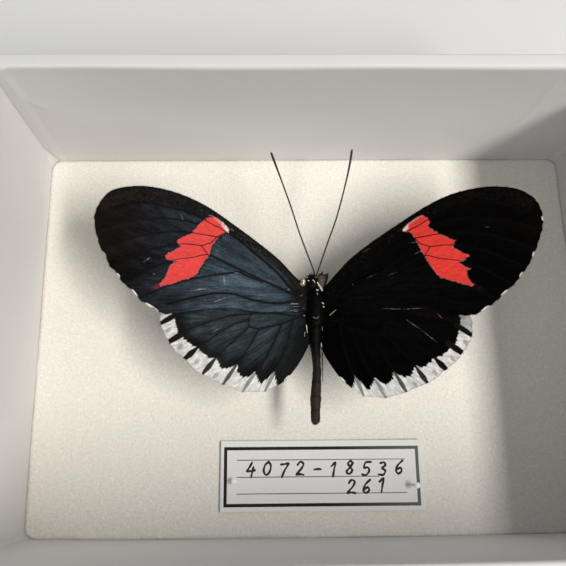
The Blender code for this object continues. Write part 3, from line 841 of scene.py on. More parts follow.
costaZone = [   # lower side of the dark strip along the leading edge
    (0.2, 0.4), (1.5, 0.6), (2.3, 2), (3.2, 3.3), (5.1, 5.25), (8, 7.5), (10.6, 9.25), (12.9, 10.8),
    (14.9, 12.1), (17.4, 13.4), (20.5, 14.7), (25, 15.7), (29, 15.4), (33, 13.6)]
redBands = {
    "forewing_left": [
        (15.2, 13.3), (14.45, 13.05), (13.85, 12.45), (13.35, 11.8), (12.8, 10.7), (13.7, 10.2),
        (14.4, 9.55), (15, 8.7), (15.4, 7.85), (15.6, 6.85), (16.05, 6.15), (16.5, 5.55), (17.05, 4.6),
        (17.5, 3.75), (18.15, 3.05), (19.05, 2.6), (20.1, 2.4), (21, 1.95), (21.75, 1.65), (22.5, 1.6),
        (23.2, 1.3), (23.3, 1.75), (22.8, 2.45), (22.35, 3.1), (22.1, 3.9), (21.9, 4.6), (21.45, 5.1),
        (20.7, 5.45), (21.25, 5.6), (22.15, 5.75), (22.6, 6.05), (22.6, 6.45), (22.15, 6.8), (21.25, 7.25),
        (20.5, 7.75), (19.9, 8.1), (20.5, 8.35), (20.8, 8.65), (20.55, 9.1), (19.9, 9.55), (19.1, 9.9),
        (18.35, 10.2), (18.15, 10.7), (17.65, 11.3), (17.2, 11.9), (16.6, 12.5), (16, 12.95)],
    "forewing_right": [
        (15.8, 13.7), (16.2, 13.55), (16.6, 13.1), (17.05, 12.3), (16.75, 12), (16.85, 11.45),
        (17.35, 11.1), (18.05, 10.6), (18.2, 10.25), (18.8, 10.05), (19.4, 9.75), (20.2, 9.35),
        (20.85, 9.1), (20.7, 8.8), (20.45, 8.4), (20.3, 8.05), (21.05, 7.5), (21.7, 7.1), (22.35, 6.8),
        (22.8, 6.5), (22.4, 6.15), (21.9, 5.75), (21, 5.5), (21.6, 5.1), (22.2, 4.6), (22.9, 4.3),
        (22.25, 4.1), (22.35, 3.4), (22.5, 2.7), (22.75, 2.2), (23.2, 1.75), (22.9, 1.5), (22, 1.75),
        (21, 2.1), (19.9, 2.5), (19, 2.8), (18.3, 3), (17.8, 3.55), (17.2, 4.45), (16.75, 5.25),
        (16.25, 6.05), (15.8, 6.9), (15.4, 7.7), (15.2, 8.25), (14.95, 8.85), (14.55, 9.65),
        (14.25, 10.35), (13.8, 10.9), (12.7, 11.15), (13.05, 11.75), (13.6, 12.3), (14.25, 12.7),
        (15.05, 13.3)],
}
creamPatches = {
    "forewing_left": [
        (15, 13.35), (14.2, 12.95), (13.5, 12.4), (12.95, 11.85), (12.5, 11.2), (12.55, 10.6), (13, 10.8),
        (13.4, 11.35), (13.85, 11.95), (14.4, 12.55), (14.9, 13)],
    "forewing_right": [
        (12.6, 11.25), (13.05, 11.85), (13.6, 12.4), (14.25, 12.85), (15.05, 13.35), (15.6, 13.6),
        (15.15, 13.15), (14.35, 12.65), (13.85, 12.2), (13.6, 11.9), (13.8, 11.7), (13.35, 11.3),
        (12.8, 11)],
}
whiteMargin = [
    (21, 2.5), (21, 0.7), (20.93, -0.59), (20.55, -2.03), (20.38, -2.7), (19.71, -3.36), (18.54, -4.52),
    (17.73, -4.93), (17.05, -5.34), (16.23, -6.17), (15.4, -6.74), (14.59, -6.57), (14.09, -7.15),
    (13.76, -8.13), (12.77, -8.43), (11.78, -7.97), (11.12, -7.64), (11.04, -8.79), (10.46, -9.61),
    (9.48, -9.61), (8.49, -8.88), (8.24, -8.95), (7.91, -9.94), (7.51, -10.76), (6.67, -10.11),
    (5.84, -9.28), (5.25, -8.7), (5.18, -9.61), (4.95, -10.77), (4.95, -13), (26, -13), (26, 2.5)]
marginBars = [   # inner end, tip, half widths, tone
    ((20.6, 0.3), (23.2, -1.3), (0.42, 0.44, 0.3), 1.0),
    ((19.2, -2.6), (21.9, -4.3), (0.46, 0.5, 0.38), 1.0),
    ((17.2, -5.0), (19.5, -7.1), (0.16, 0.5, 0.28), 1.0),
    ((14.4, -6.6), (16.7, -9.5), (0.14, 0.44, 0.12), 0.97),
    ((11.35, -7.9), (13.6, -11.25), (0.2, 0.34, 0.12), 0.88),
    ((8.45, -9.1), (10.3, -12.0), (0.18, 0.3, 0.12), 0.6),
    ((5.15, -8.6), (6.8, -11.8), (0.3, 0.3, 0.14), 0.65),
]
greyBlots = [(21.9, -2.3), (20.0, -4.9), (17.4, -7.3), (14.5, -9.4)]
fringeMarks = {   # white slivers of the fringe on a wing's outer edge
    "forewing_left": [
        ((30, 3.25), (29.7, 2.8)), ((27.5, 0.75), (26.8, -0.3)), ((25.35, -1.55), (23.6, -2.65))],
    "forewing_right": [
        ((32.7, 6.75), (32.5, 6.05)), ((30.75, 3.4), (30.3, 2.8)), ((28.2, 0.65), (27.3, -0.1)),
        ((25.3, -1.85), (24.1, -2.45)), ((34.7, 12.5), (34.7, 11.9))],
    "hindwing_left": [((3.3, -9.07), (3.65, -10.17))],
    "hindwing_right": [((3.17, -8.93), (3.95, -9.66))],
}
wearAndGlintMarks = {   # where scales are rubbed off, and painted glints where they catch the light
    "forewing_left": [
        ((18.05, 0.92), (15.43, 1.11)), ((13.34, 3.65), (13.06, 1.44)), ((24.5, 3.26), (24.06, 3.4)),
        ((26, 5.29), (24.86, 6.15)), ((15.14, -1.2), (12.79, -0.28)), ((13.9, 5.53), (13.95, 5.5)),
        ((20.31, 13.5), (19.89, 12.51)), ((12.31, 11.48), (11.63, 10.93)), ((2.89, -1.2), (0.98, -1.07)),
        ((2.78, -2.49), (0.96, -2.2)), ((12.01, 4.02), (10.8, 3.72)), ((3.12, 1.29), (2.58, 1.11)),
        ((11.65, 3.75), (10.8, 3.77)), ((13.25, 3.07), (12.98, 1.93)), ((19.2, 0.62), (15.77, 1.06))],
    "hindwing_left": [
        ((9.25, -7.9), (9.3, -7.85)), ((14.3, -4.6), (14.35, -4.6)), ((15.13, -2.66), (13.57, -1.71))],
    "forewing_right": [
        ((8.85, -1.56), (12, -1.84)), ((11.94, -1.87), (15.15, -1.75)), ((25.45, 11.16), (26.48, 11.12)),
        ((4.36, 2.73), (4.43, 2.31)), ((13.45, 9.01), (14.63, 9.08)), ((6.09, 7.92), (7.26, 8.53)),
        ((16.64, 14.2), (16.7, 14.2)), ((30.57, 4.27), (30.6, 4.27)), ((14.28, 7.08), (15.48, 7.58)),
        ((10.08, 3.76), (11.54, 4.29)), ((6.64, 3.44), (8.25, 4.19))],
    "hindwing_right": [
        ((12.48, 0.9), (15.3, -0.9)), ((15.2, -0.85), (17.63, -2.63)), ((17.48, 2.03), (18.28, 1.27))],
}
markRadii = {"fringe": (0.15, 0.21, 0.13), "scratch": (0.03, 0.075, 0.03)}   # at start, middle and end

# root, middle and outer part of each wing, the leading strip, and how much its streaks shine; the slate blue
# of the left wings is painted sheen
wingColours = {
    "forewing_left": {
        "root": (0.033, 0.048, 0.061), "middle": (0.0165, 0.0195, 0.027), "outer": (0.007, 0.0049, 0.0044),
        "costa": (0.0074, 0.0062, 0.0054), "red": (0.78, 0.066, 0.06), "tail": 0.28, "specular": 0.06,
        "glint": 0.4, "scratch": 0.72},
    "hindwing_left": {
        "root": (0.027, 0.039, 0.0455), "middle": (0.0145, 0.02, 0.023), "outer": (0.0065, 0.0065, 0.0073),
        "specular": 0.06, "glint": 0.2, "scratch": 0.6, "warm": 0.0, "frontCell": 0.1},
    # the right wings: the same scales without the painted sheen, kept near black
    "forewing_right": {
        "root": (0.0018, 0.0018, 0.0019), "middle": (0.0011, 0.001, 0.001),
        "outer": (0.0012, 0.0008, 0.0006), "costa": (0.0024, 0.0019, 0.0014), "red": (0.74, 0.05, 0.038),
        "tail": 0.05, "specular": 0.015, "glint": 0.02, "scratch": 0.3},
    "hindwing_right": {
        "root": (0.0016, 0.0015, 0.0015), "middle": (0.0012, 0.0011, 0.0011),
        "outer": (0.0014, 0.0012, 0.001), "specular": 0.015, "glint": 0.01, "scratch": 0.5, "warm": 0.8,
        "frontCell": 0.5},
}


def kindOf(name):   # the wing's looks follow its kind
    return name.split("_")[0]


def numberOf(name):   # so that no two wings get the same waves, streaks and hairs
    return sum(map(ord, name))


def onWing(name, flat, lift):   # points of a wing's own plane, set at its place and slope
    side, rootY, rootHeight, rise, turn = wingPlaces[name]
    spin, slope = radians(turn), radians(rise)
    outward = flat[:, 0] * cos(spin) - flat[:, 1] * sin(spin)
    forward = flat[:, 0] * sin(spin) + flat[:, 1] * cos(spin)
    arch = wingsLook["arch"]
    height = outward * tan(slope) * (1 + arch - arch * outward / wingsLook["span"])
    x = wingsLook["middleX"] + side * (wingsLook["rootX"] + outward * cos(slope))
    return np.column_stack([x, rootY + forward, foamTop + rootHeight + height + lift])


def wingRelief(name, flat, fromVein):   # the skin sags between veins and waves a little
    sag = -wingsLook["sag"] * (1 - np.exp(-(fromVein / wingsLook["sagReach"]) ** 2))
    shift = numberOf(name)
    wave = np.sin(flat[:, 0] * 0.33 + shift) * np.sin(flat[:, 1] * 0.41 + 0.11 * flat[:, 0] + shift)
    return sag + wingsLook["waviness"] * wave * between(flat[:, 0], 1.0, 8.0)


def outwardAt(outline):   # unit vectors that point out of a closed outline
    ahead = np.roll(outline, -1, axis=0) - np.roll(outline, 1, axis=0)
    beside = np.roll(outline, -1, axis=0)
    clockwise = np.sum(outline[:, 0] * beside[:, 1] - beside[:, 0] * outline[:, 1]) < 0
    outward = np.column_stack([-ahead[:, 1], ahead[:, 0]]) * (1 if clockwise else -1)
    return outward / np.linalg.norm(outward, axis=1)[:, None]


def toothed(outline, tips, push, reach):   # the edge stands out at some points, between fine ripples
    away = np.min([np.linalg.norm(outline - tip, axis=1) for tip in tips], axis=0)
    length = np.cumsum(np.linalg.norm(outline - np.roll(outline, 1, axis=0), axis=1))
    ripple = 0.05 * np.sin(length * 4.2) * between(outline[:, 0], 14.0, 20.0)
    return outline + outwardAt(outline) * (push * np.exp(-(away / reach) ** 2) + ripple)[:, None]


def veinFields(flat, veins):   # distance to the nearest vein, and a level that rises across the veins
    nearest = np.full(len(flat), farAway)
    weights, levels = np.full(len(flat), 1e-9), np.zeros(len(flat))
    for level, path in veins:
        away = toPath(flat, path)
        nearest = np.minimum(nearest, away)
        if level is not None:
            weight = 1 / (away ** 2 + 0.06)
            weights += weight
            levels += weight * level
    return nearest, levels / weights


def forewingPattern(name, flat, level):
    outward, forward = flat.T
    reach = outward - 2.5 * (1 - between(forward, 0.0, 6.0))
    strip = np.vstack([wingOutlines[name][1:12], costaZone[::-1]])
    creamSpot, tail = (strokeField(flat, [stroke])[0] for stroke in bandStrokes)
    # painted sheen: its strength cell by cell, dimmer near the root and at the hind corner
    bright = np.interp(level, *sheenByLevel["forewing"]) * (0.1 + 0.9 * between(outward, 0.9, 4.4))
    hindCorner = between(outward, 20.5, 26.0) * (1 - between(forward, 4.0, 9.0))
    return {
        "ray": np.arctan2(forward - 0.1, outward + 2.5) * 20,
        "share": np.interp(reach, (0, 8, 14, 18, 22, 27, 32), (0, 0.05, 0.14, 0.42, 0.62, 0.82, 1.0)),
        "bright": bright * (1 - 0.45 * hindCorner),
        "band": signedDistance(flat, redBands[name]), "tail": tail,
        "cream": np.maximum(signedDistance(flat, creamPatches[name]), creamSpot),
        "creamTone": 1.0 - 0.7 * between(outward, 12.9, 14.0),
        "costa": signedDistance(flat, strip),
        "dusty": between(outward, 3.0, 9.0) * (1 - between(outward, 14.0, 20.0)),
    }


def hindwingPattern(flat, level):
    outward, forward = flat.T
    margin = signedDistance(flat, whiteMargin)
    nearWhite = 1 - between(-margin, 0.2, 3.2)
    nearBody = 0.85 * (1 - between(outward - (0.6 - (1.5 + forward) * 0.5), -0.9, 2.2))
    bar, tone = strokeField(flat, marginBars)
    blot, _ = strokeField(flat, [((u - 0.2, v + 0.25), (u + 0.2, v - 0.25), (0.2, 0.34, 0.2), 1.0)
                                 for u, v in greyBlots])
    return {
        "ray": np.arctan2(forward - 1.0, outward + 1.0) * 12,
        "share": np.maximum(nearWhite, nearBody),
        # painted sheen: its strength cell by cell, dimmer near the root
        "bright": np.interp(level, *sheenByLevel["hindwing"]) * (0.2 + 0.8 * between(outward, 0.0, 2.6)),
        "margin": margin, "bar": bar, "barTone": tone, "blot": blot,
        "frontCell": between(forward, -1.4, 0.0),
        "warm": between(outward, 8.0, 13.0) * between(forward + 0.12 * outward, 2.9, 4.2),
    }


def wingMaterial(name):
    look = wingColours[name]
    material = openMaterial("scales_" + name)
    share, powder = field("share"), grained(0.22, 2.4)
    patchy = maths("MULTIPLY_ADD", grained(2.4, 1.4), 0.24, share - 0.12)
    base = mixed(stepped(patchy, 0.0, 0.5), look["root"], look["middle"])
    base = mixed(stepped(patchy, 0.5, 0.95), base, look["outer"])
    # painted sheen: the colours brightened and dimmed by each cell's sheen strength
    base = shaded(base, field("bright"), 0.0, 1.0)
    base = shaded(base, streaked(0.3, 3.0, 0.34, 0.66), 0.58, 1.3)
    base = shaded(base, streaked(1.3, 9.0, 0.35, 0.65), 0.7, 1.25)
    base = shaded(base, grained(1.1, 2.0), 0.76, 1.24)
    base = shaded(base, powder, 0.6, 1.4)
    # painted glints: pale streaks where the scales catch the light, strongest on the left wings
    glint = streaked(0.25, 1.7, 0.64, 0.75) * stepped(share, 0.75, 0.1)
    base = mixed(glint * look["glint"], base, (0.17, 0.2, 0.22))
    paintOver = paintForewing if name.startswith("forewing") else paintHindwing
    base = paintOver(base, look, field("line"), powder)
    base = mixed(ragged(field("fringe"), 0.12, 0.25, 0.06), base, (0.74, 0.73, 0.71))
    # rubbed-off scales, and painted glints: grey strokes along the listed marks
    scratch = ragged(field("scratch"), 0.12, 0.35, 0.05) * grained(0.4, 2.4)
    base = mixed(scratch * look["scratch"], base, (0.42, 0.42, 0.42))
    return closeMaterial(material, base, (powder, 0.5, 0.05), 0.5, look["specular"])


black = (0.0024, 0.0022, 0.0026)


def darkAlong(base, line, reach, rough):   # black scales that thin out beside a vein
    base = mixed(stepped(line, -reach, 0.05) * 0.3, base, black)
    return mixed(ragged(line, rough, 0.4, 0.05) * 0.93, base, black)


def paintForewing(base, look, line, powder):
    strip = shaded(shaded(look["costa"], powder, 0.35, 2.0), grained(0.55, 2.6), 0.3, 1.9)
    dust = specked(0.5, 0.42, 0.42) * grained(1.2, 2.4) * field("dusty") * look["scratch"]
    strip = mixed(dust, strip, (0.19, 0.165, 0.15))
    base = mixed(ragged(field("costa"), 0.8, 0.6, 0.42), base, strip)
    base = darkAlong(base, line, 0.4, 0.12)
    fine = streaked(0.22, 1.1, 0.32, 0.68)
    band = maths("MULTIPLY_ADD", fine, 0.16, field("band") - 0.08)
    base = mixed(stepped(band, -0.6, -0.1) * 0.5, base, black)
    red = shaded(mottled(1.4, 1.8, look["red"], 0.84), streaked(0.25, 1.4, 0.35, 0.65), 0.87, 1.06)
    red = shaded(red, powder, 0.85, 1.12)
    redMask = ragged(band, 0.26, 0.32, 0.13)
    base = mixed(redMask, base, red)
    tail = ragged(field("tail"), 1.3, 0.3, 0.35) * fine
    base = mixed(tail * look["tail"], base, red)
    rubbed = stepped(abs(band), 0.16, 0.02) * grained(0.7, 3.0)
    base = mixed(rubbed * 0.32, base, (0.5, 0.3, 0.3))
    cream = shaded((0.84, 0.7, 0.6), grained(0.3, 2.4), 0.6, 1.12)
    base = mixed(ragged(field("cream"), 0.34, 0.3, 0.12) * field("creamTone"), base, cream)
    thin = ragged(line - 0.05, 0.05, 0.3, 0.04)   # the veins stay dark across the band
    return mixed(thin * redMask * 0.85, base, (0.03, 0.009, 0.009))


def paintHindwing(base, look, line, powder):
    base = mixed(field("warm") * grained(0.7, 1.6) * look["warm"], base, (0.016, 0.0055, 0.0042))
    base = darkAlong(base, line, 0.35, 0.1)
    fine = streaked(0.2, 1.4, 0.36, 0.64)
    white = mixed(fine, (0.55, 0.55, 0.53), (0.8, 0.79, 0.75))
    for size, contrast in ((0.9, 2.2), (0.3, 2.4)):
        white = shaded(white, grained(size, contrast), 0.8, 1.08)
    # painted shadow: the forewing's shade over the front white cell, strongest on the right wing
    white = mixed(field("frontCell") * look["frontCell"], white, (0.11, 0.11, 0.115))
    white = mixed(ragged(field("blot"), 0.5, 0.35, 0.12) * 0.6, white, (0.17, 0.17, 0.13))
    margin = maths("MULTIPLY_ADD", fine, 0.24, field("margin") - 0.14)
    base = mixed(ragged(margin, 0.26, 0.35, 0.12), base, white)
    return mixed(ragged(field("bar"), 0.2, 0.3, 0.08) * field("barTone"), base, (0.006, 0.0055, 0.006))


def makeWing(name, darkHair, paleHair):
    kind = kindOf(name)
    fore = kind == "forewing"
    outline = toothed(smoothPath(wingOutlines[name], 12, closed=True), *edgeTeeth[kind])
    traced = forewingVeins if fore else hindwingVeins
    veins = [(level, smoothPath(path, 5)) for level, path in traced.values()]
    flat, faces, rim = fillOutline(outline, wingsLook["spacing"])
    fromVein, level = veinFields(flat, veins)
    relief = wingRelief(name, flat, fromVein)
    top, under = (onWing(name, flat, relief + side * wingsLook["thickness"] / 2) for side in (1, -1))
    wing = makeSlab(name + "_skin", top, under, faces, rim, wingMaterial(name))
    pattern = forewingPattern(name, flat, level) if fore else hindwingPattern(flat, level)
    pattern["along"] = flat[:, 0] + numberOf(name)
    pattern["line"] = np.interp(flat[:, 0], *veinLines[kind]) - fromVein
    slivers = [[outline[np.argmin(np.linalg.norm(outline - end, axis=1))] for end in ends]
               for ends in fringeMarks[name]]
    for key, marks in (("fringe", slivers), ("scratch", wearAndGlintMarks[name])):
        pattern[key] = strokeField(flat, [(*ends, markRadii[key], 1.0) for ends in marks])[0]
    storeValues(wing, **{key: np.tile(values, 2) for key, values in pattern.items()})
    settle(wing, kind, name)
    growWingHair(name, wing, flat, outline, pattern, darkHair, paleHair)
    makeVeins(name, [path for _, path in veins])


def makeVeins(name, veins):   # raised tubes, with the thick leading edge on a forewing
    look = wingsLook
    ends = [(look["veinRadius"], look["veinTip"])] * len(veins)
    if kindOf(name) == "forewing":
        veins = veins + [smoothPath(wingOutlines[name][1:12], 8) + look["leadInset"]]
        ends.append(look["leadRadii"])
    paths = [(onWing(name, path, wingRelief(name, path, np.zeros(len(path)))), np.linspace(*radii, len(path)))
             for path, radii in zip(veins, ends)]
    settle(makeTubes(name + "_veins", paths, veinMaterial(name), look["veinTubes"]), kindOf(name))


fringeHair = {"perMm": 48, "length": 0.26, "thickness": 0.026, "bend": 0.25, "lie": 1.0, "jitter": 0.28,
              "flow": (0.0, 0.0, 0.0), "seed": 31}
baseHair = {"perMm": 30, "length": 0.85, "thickness": 0.024, "bend": 0.3, "lie": 0.88, "jitter": 0.3,
            "flow": (0.0, 0.0, 0.0), "seed": 37}


def growWingHair(name, wing, flat, outline, pattern, darkHair, paleHair):   # a fringe, and long root hair
    kind, place = kindOf(name), wingsLook

    def grow(tag, chosen, comb, look, hair):
        storeValues(wing, comb=np.tile(comb, (2, 1)))
        look = dict(look, seed=look["seed"] + numberOf(name + tag))
        settle(growFuzz(name + (f"_fringe_{tag}" if tag else "_root_hair"), wing, chosen, look, hair), kind)

    atEdge = (toPath(flat, outline, closed=True) < place["edgeReach"]) & (flat[:, 0] > place["edgeFrom"])
    closest = np.argmin(np.linalg.norm(flat[atEdge][:, None] - outline[None], axis=2), axis=1)
    comb = np.zeros((len(flat), 3))
    comb[atEdge] = onWing(name, flat[atEdge] + outwardAt(outline)[closest], 0) - onWing(name, flat[atEdge], 0)
    white = (pattern["margin"] > 0) & (pattern["bar"] < 0) if kind == "hindwing" else pattern["fringe"] > 0
    for tag, chosen, hair in (("dark", ~white, darkHair), ("pale", white, paleHair)):
        grow(tag, np.tile(atEdge & chosen, 2), comb, fringeHair, hair)
    outwards = onWing(name, flat + (1.0, 0.0), 0) - onWing(name, flat, 0)
    fromRoot = flat[:, 0]
    nearRoot = np.exp(-(np.clip(fromRoot, 0, 9) / place["rootHairReach"]) ** 2)
    nearRoot = nearRoot * (fromRoot < place["rootHairEnd"])
    grow("", np.concatenate([nearRoot, nearRoot * place["underside"]]), outwards, baseHair, darkHair)


def veinMaterial(name):
    # the left wings' veins are lighter with the painted sheen; the right ones are the same veins kept darker
    tone = 1.0 if name.endswith("left") else 0.22
    material = openMaterial("veins_" + name)
    dark, light = (tuple(c * tone for c in shade) for shade in ((0.003, 0.003, 0.004), (0.009, 0.009, 0.011)))
    base = mixed(grained(0.6, 1.6), dark, light)
    return closeMaterial(material, base, (grained(0.15, 1.4), 0.3, 0.03), 0.45, 0.1 * tone)


# body

bodyLook = {
    "thorax": {"y": (-0.95, 6.0), "halfSize": (1.3, 1.48), "x": 0.1, "height": 10.0, "rows": 60, "sides": 48,
               "bluntness": 0.55, "lump": 0.09, "seed": 2.0},
    "head": {"y": (5.3, 7.94), "halfSize": (1.08, 0.85), "x": -0.3, "height": 10.3, "rows": 40, "sides": 36,
             "bluntness": 0.65, "lump": 0.05, "seed": 7.0},
    "eyeRadius": 0.64, "eyeWidth": 1.22, "eyeHighlightSpot": (-1.7, 6.86, 21.38),   # the painted highlight on the left eye
    "eyes": {"eye_left": (-1.92, 6.72, 10.3), "eye_right": (1.08, 6.75, 9.3)},
    "palps": {"palp_left": [(1.2, 5.5, 10.3), (1.08, 7.2, 10.65), (1.38, 8.5, 10.45)],
              "palp_right": [(1.5, 5.5, 10.2), (1.75, 7.2, 10.55), (2.38, 8.28, 10.3)]},
    "palpSwell": ((0, 0.2, 0.4, 0.6, 0.72, 0.8, 0.9, 1.0), (0.45, 0.7, 0.95, 1.0, 0.88, 0.36, 0.25, 0.1)),
    "palpHalfWidth": 0.5, "palpHalfHeight": 0.3,
}
bodyFuzz = {"perMm": 60, "length": 0.62, "thickness": 0.022, "bend": 0.35, "lie": 0.55, "jitter": 0.4,
            "flow": (0.0, -1.0, 0.35), "seed": 3}
headFuzz = {"perMm": 70, "length": 0.42, "thickness": 0.02, "bend": 0.3, "lie": 0.35, "jitter": 0.5,
            "flow": (0.0, 0.6, 0.5), "seed": 5}
palpFuzz = {"perMm": 80, "length": 0.3, "thickness": 0.018, "bend": 0.25, "lie": 0.9, "jitter": 0.18,
            "flow": (0.2, 1.0, 0.15), "seed": 9}
abdomenFuzz = {"perMm": 44, "length": 0.3, "thickness": 0.02, "bend": 0.2, "lie": 0.8, "jitter": 0.18,
               "flow": (0.0, -1.0, 0.12), "seed": 13}


def eggRings(look):   # a lumpy egg along Y
    (yStart, yEnd), (halfWidth, halfHeight) = look["y"], look["halfSize"]
    around = np.arange(look["sides"]) * 2 * pi / look["sides"]
    side, rise = np.cos(around), np.sin(around)
    rings = []
    for row in range(look["rows"] + 1):
        angle = pi * (0.03 + 0.94 * row / look["rows"])
        swell = sin(angle) ** look["bluntness"]
        y = yStart + (yEnd - yStart) * (1 - cos(angle)) / 2
        ring = np.column_stack([look["x"] + halfWidth * swell * side, np.full(len(around), y),
                                foamTop + look["height"] + halfHeight * swell * rise])
        shift = roughNoise(ring, 0.9, look["seed"]) * look["lump"]
        rings.append(ring + np.column_stack([shift * side, shift * 0, shift * rise]))
    return rings


def ringsAlong(path, widths, heights, sides):   # oval rings square to a path
    aim = np.gradient(path, axis=0)
    aim /= np.linalg.norm(aim, axis=1)[:, None]
    side = np.cross(aim, (0, 0, 1.0))
    side /= np.linalg.norm(side, axis=1)[:, None]
    rise = np.cross(side, aim)
    around = np.arange(sides) * 2 * pi / sides
    return [point + np.cos(around)[:, None] * s * w + np.sin(around)[:, None] * r * h
            for point, s, r, w, h in zip(path, side, rise, widths, heights)]


def makeTrunk(skin, darkHair, headHair):
    makeFurred("thorax", eggRings(bodyLook["thorax"]), skin, "body", bodyFuzz, darkHair)
    makeFurred("head", eggRings(bodyLook["head"]), skin, "body", headFuzz, headHair)


def eyeMaterial():
    material = openMaterial("goldenEye")
    where = placed()
    facets = wire("ShaderNodeTexVoronoi", {"Vector": where, "Scale": 14.0})
    away = vectorMaths("DISTANCE", where, bodyLook["eyeHighlightSpot"], "Value")
    # painted light and shade: golden near the highlight spot, dark brown away from it, which leaves the right
    # eye dark
    base = mixed(stepped(away, 0.2, 0.72), (0.3, 0.225, 0.14), (0.028, 0.019, 0.01))
    base = mixed(stepped(axes(where)[1], 6.75, 6.35), base, (0.3, 0.23, 0.175))   # paler towards the thorax
    base = shaded(base, grained(0.35, 1.8), 0.6, 1.2)
    base = shaded(base, facets, 1.1, 0.75)
    # painted highlight: a cream spot on the left eye
    base = mixed(stepped(away, 0.25, 0.08), base, (0.93, 0.88, 0.76))
    coat = {"Coat Weight": 1.0, "Coat Roughness": 0.06}
    return closeMaterial(material, base, (facets, 0.3, 0.02), 0.25, 0.6, coat)


def makeEyes():
    material = eyeMaterial()
    r = bodyLook["eyeRadius"]
    for name, (x, y, h) in bodyLook["eyes"].items():
        angles = np.linspace(0.04, pi - 0.04, 30)
        path = np.column_stack([x + r * np.cos(angles), np.full(30, y), np.full(30, foamTop + h)])
        rings = ringsAlong(path, bodyLook["eyeWidth"] * r * np.sin(angles), r * np.sin(angles), 40)
        settle(makePiece(name + "_ball", *loft(rings), material), "eye", name)


def palpMaterial(name, dark, light):   # darker at the tips and along the right side
    material = openMaterial(name)
    x, y, _ = axes(placed())
    base = mixed(grained(0.3, 2.0), dark, light)
    deep = maths("MAXIMUM", stepped(y, 7.5, 7.9), stepped(x - y * 0.2, 0.16, 0.38))
    base = mixed(deep * 0.9, base, (0.008, 0.006, 0.005))
    return closeMaterial(material, base, (grained(0.15, 1.4), 0.5, 0.05), 0.6, 0.1)


def makePalps(skin, hair):
    look = bodyLook
    for name, centreLine in look["palps"].items():
        path = smoothPath(centreLine, 14) + (0, 0, foamTop)
        swell = np.interp(np.linspace(0, 1, len(path)), *look["palpSwell"])
        rings = ringsAlong(path, swell * look["palpHalfWidth"], swell * look["palpHalfHeight"], 20)
        flow = tuple((path[-1] - path[0]) / np.linalg.norm(path[-1] - path[0]) + (0, 0, 0.1))
        makeFurred(name, rings, skin, "body", dict(palpFuzz, flow=flow), hair)


paleLocksAndHighlights = [   # a lock's path over the body, its half width at start and end, its number of hairs; pale scale spots, and painted highlights where noted
    ([(0.46, 6.5, 11.25), (0.8, 5.8, 11.3), (1.2, 5.1, 11.2)], (0.05, 0.13), 26),
    ([(-0.28, 6.95, 11.2), (-0.08, 6.7, 11.26), (0.1, 6.35, 11.25)], (0.07, 0.03), 9),
    ([(-1.17, 7.44, 11), (-1.08, 7.36, 11.02)], (0.05, 0.05), 6),
    ([(-1.05, 6.82, 11.1), (-0.8, 6.72, 11.18)], (0.05, 0.05), 7),
    ([(0.2, 7.42, 11.1), (0.4, 7.26, 11.1)], (0.05, 0.05), 6),
    ([(0.27, 5.22, 11.42), (0.4, 5.1, 11.46), (0.6, 5.18, 11.42)], (0.07, 0.08), 12),
    ([(0.32, 4.56, 11.64), (0.42, 4.34, 11.66)], (0.06, 0.05), 9),
    # painted highlights: two glossy glints on the thorax's right side
    ([(1.16, 3.06, 11.2), (1.4, 2.9, 11.15)], (0.09, 0.07), 11),
    ([(1.28, 2.44, 11.2), (1.46, 2.32, 11.1)], (0.07, 0.05), 8),
    ([(-1.44, -0.36, 10.4), (-1.4, -1, 10.36), (-1.31, -1.7, 10.3)], (0.05, 0.03), 7),
    ([(-1.69, -1.47, 10.2), (-1.79, -2.23, 10.1)], (0.02, 0.02), 2),
    # painted highlight along the right hind leg
    ([(0.84, -3.1, 9.8), (0.98, -3.9, 9.75), (1.12, -5, 9.7)], (0.05, 0.07), 7)]
# tan hairs, and painted highlights where noted
tanLocksAndHighlights = [
    # painted highlight: the pale crescent at the back of the thorax
    ([
        (-0.42, 0.8, 11.38), (-0.28, 0.6, 11.4), (0.03, 0.47, 11.42), (0.38, 0.62, 11.42),
        (0.53, 0.92, 11.4)], (0.03, 0.04), 5),
    ([(1.1, -0.62, 10.2), (1.1, -1.25, 10.15)], (0.03, 0.03), 3),
    # painted highlights: grey lines at the left wing's base, on the next seven locks
    ([(-3.9, 3.03, 11.1), (-3.3, 3.04, 11.04), (-2.7, 3, 10.99)], (0.015, 0.015), 2),
    ([(-3.5, 2.5, 11.06), (-2.48, 2.51, 10.97)], (0.015, 0.015), 2),
    ([(-4.3, 1.76, 11.14), (-3.57, 1.93, 11.08), (-3, 1.97, 11.02), (-2.72, 1.78, 10.99)],
     (0.02, 0.015), 2),
    ([(-2.2, 2.29, 10.97), (-1.62, 2.28, 10.92)], (0.015, 0.015), 1),
    ([(-2.45, 4.15, 11), (-1.93, 4.59, 10.94)], (0.02, 0.015), 1),
    ([(-4.37, 5.43, 11.16), (-4.01, 5.43, 11.12)], (0.02, 0.015), 2),
    ([(2.22, 0.98, 11.12), (2.8, 1.45, 11.2), (3.46, 1.96, 11.28)], (0.05, 0.02), 6),
    ([(-1.95, 1.08, 10.8), (-1.64, 1.06, 10.75)], (0.06, 0.05), 5),
    # marks along the right hind leg, partly painted highlights, on the last five locks
    ([(1.1, -2.24, 9.8), (1.57, -2.57, 9.7)], (0.02, 0.02), 2),
    ([(0.89, -5.5, 9.65), (0.91, -6.79, 9.6)], (0.02, 0.02), 3),
    ([(0.77, -7.21, 9.6), (1.12, -8.28, 9.5)], (0.02, 0.02), 3),
    ([(1.08, -8.28, 9.5), (0.87, -9.55, 9.45)], (0.02, 0.02), 3),
    ([(0.66, -9.44, 9.6), (0.7, -10.18, 9.5)], (0.02, 0.02), 2)]


lockLook = {"radii": (0.032, 0.016), "spacing": 0.12, "sides": 5, "seed": 17}


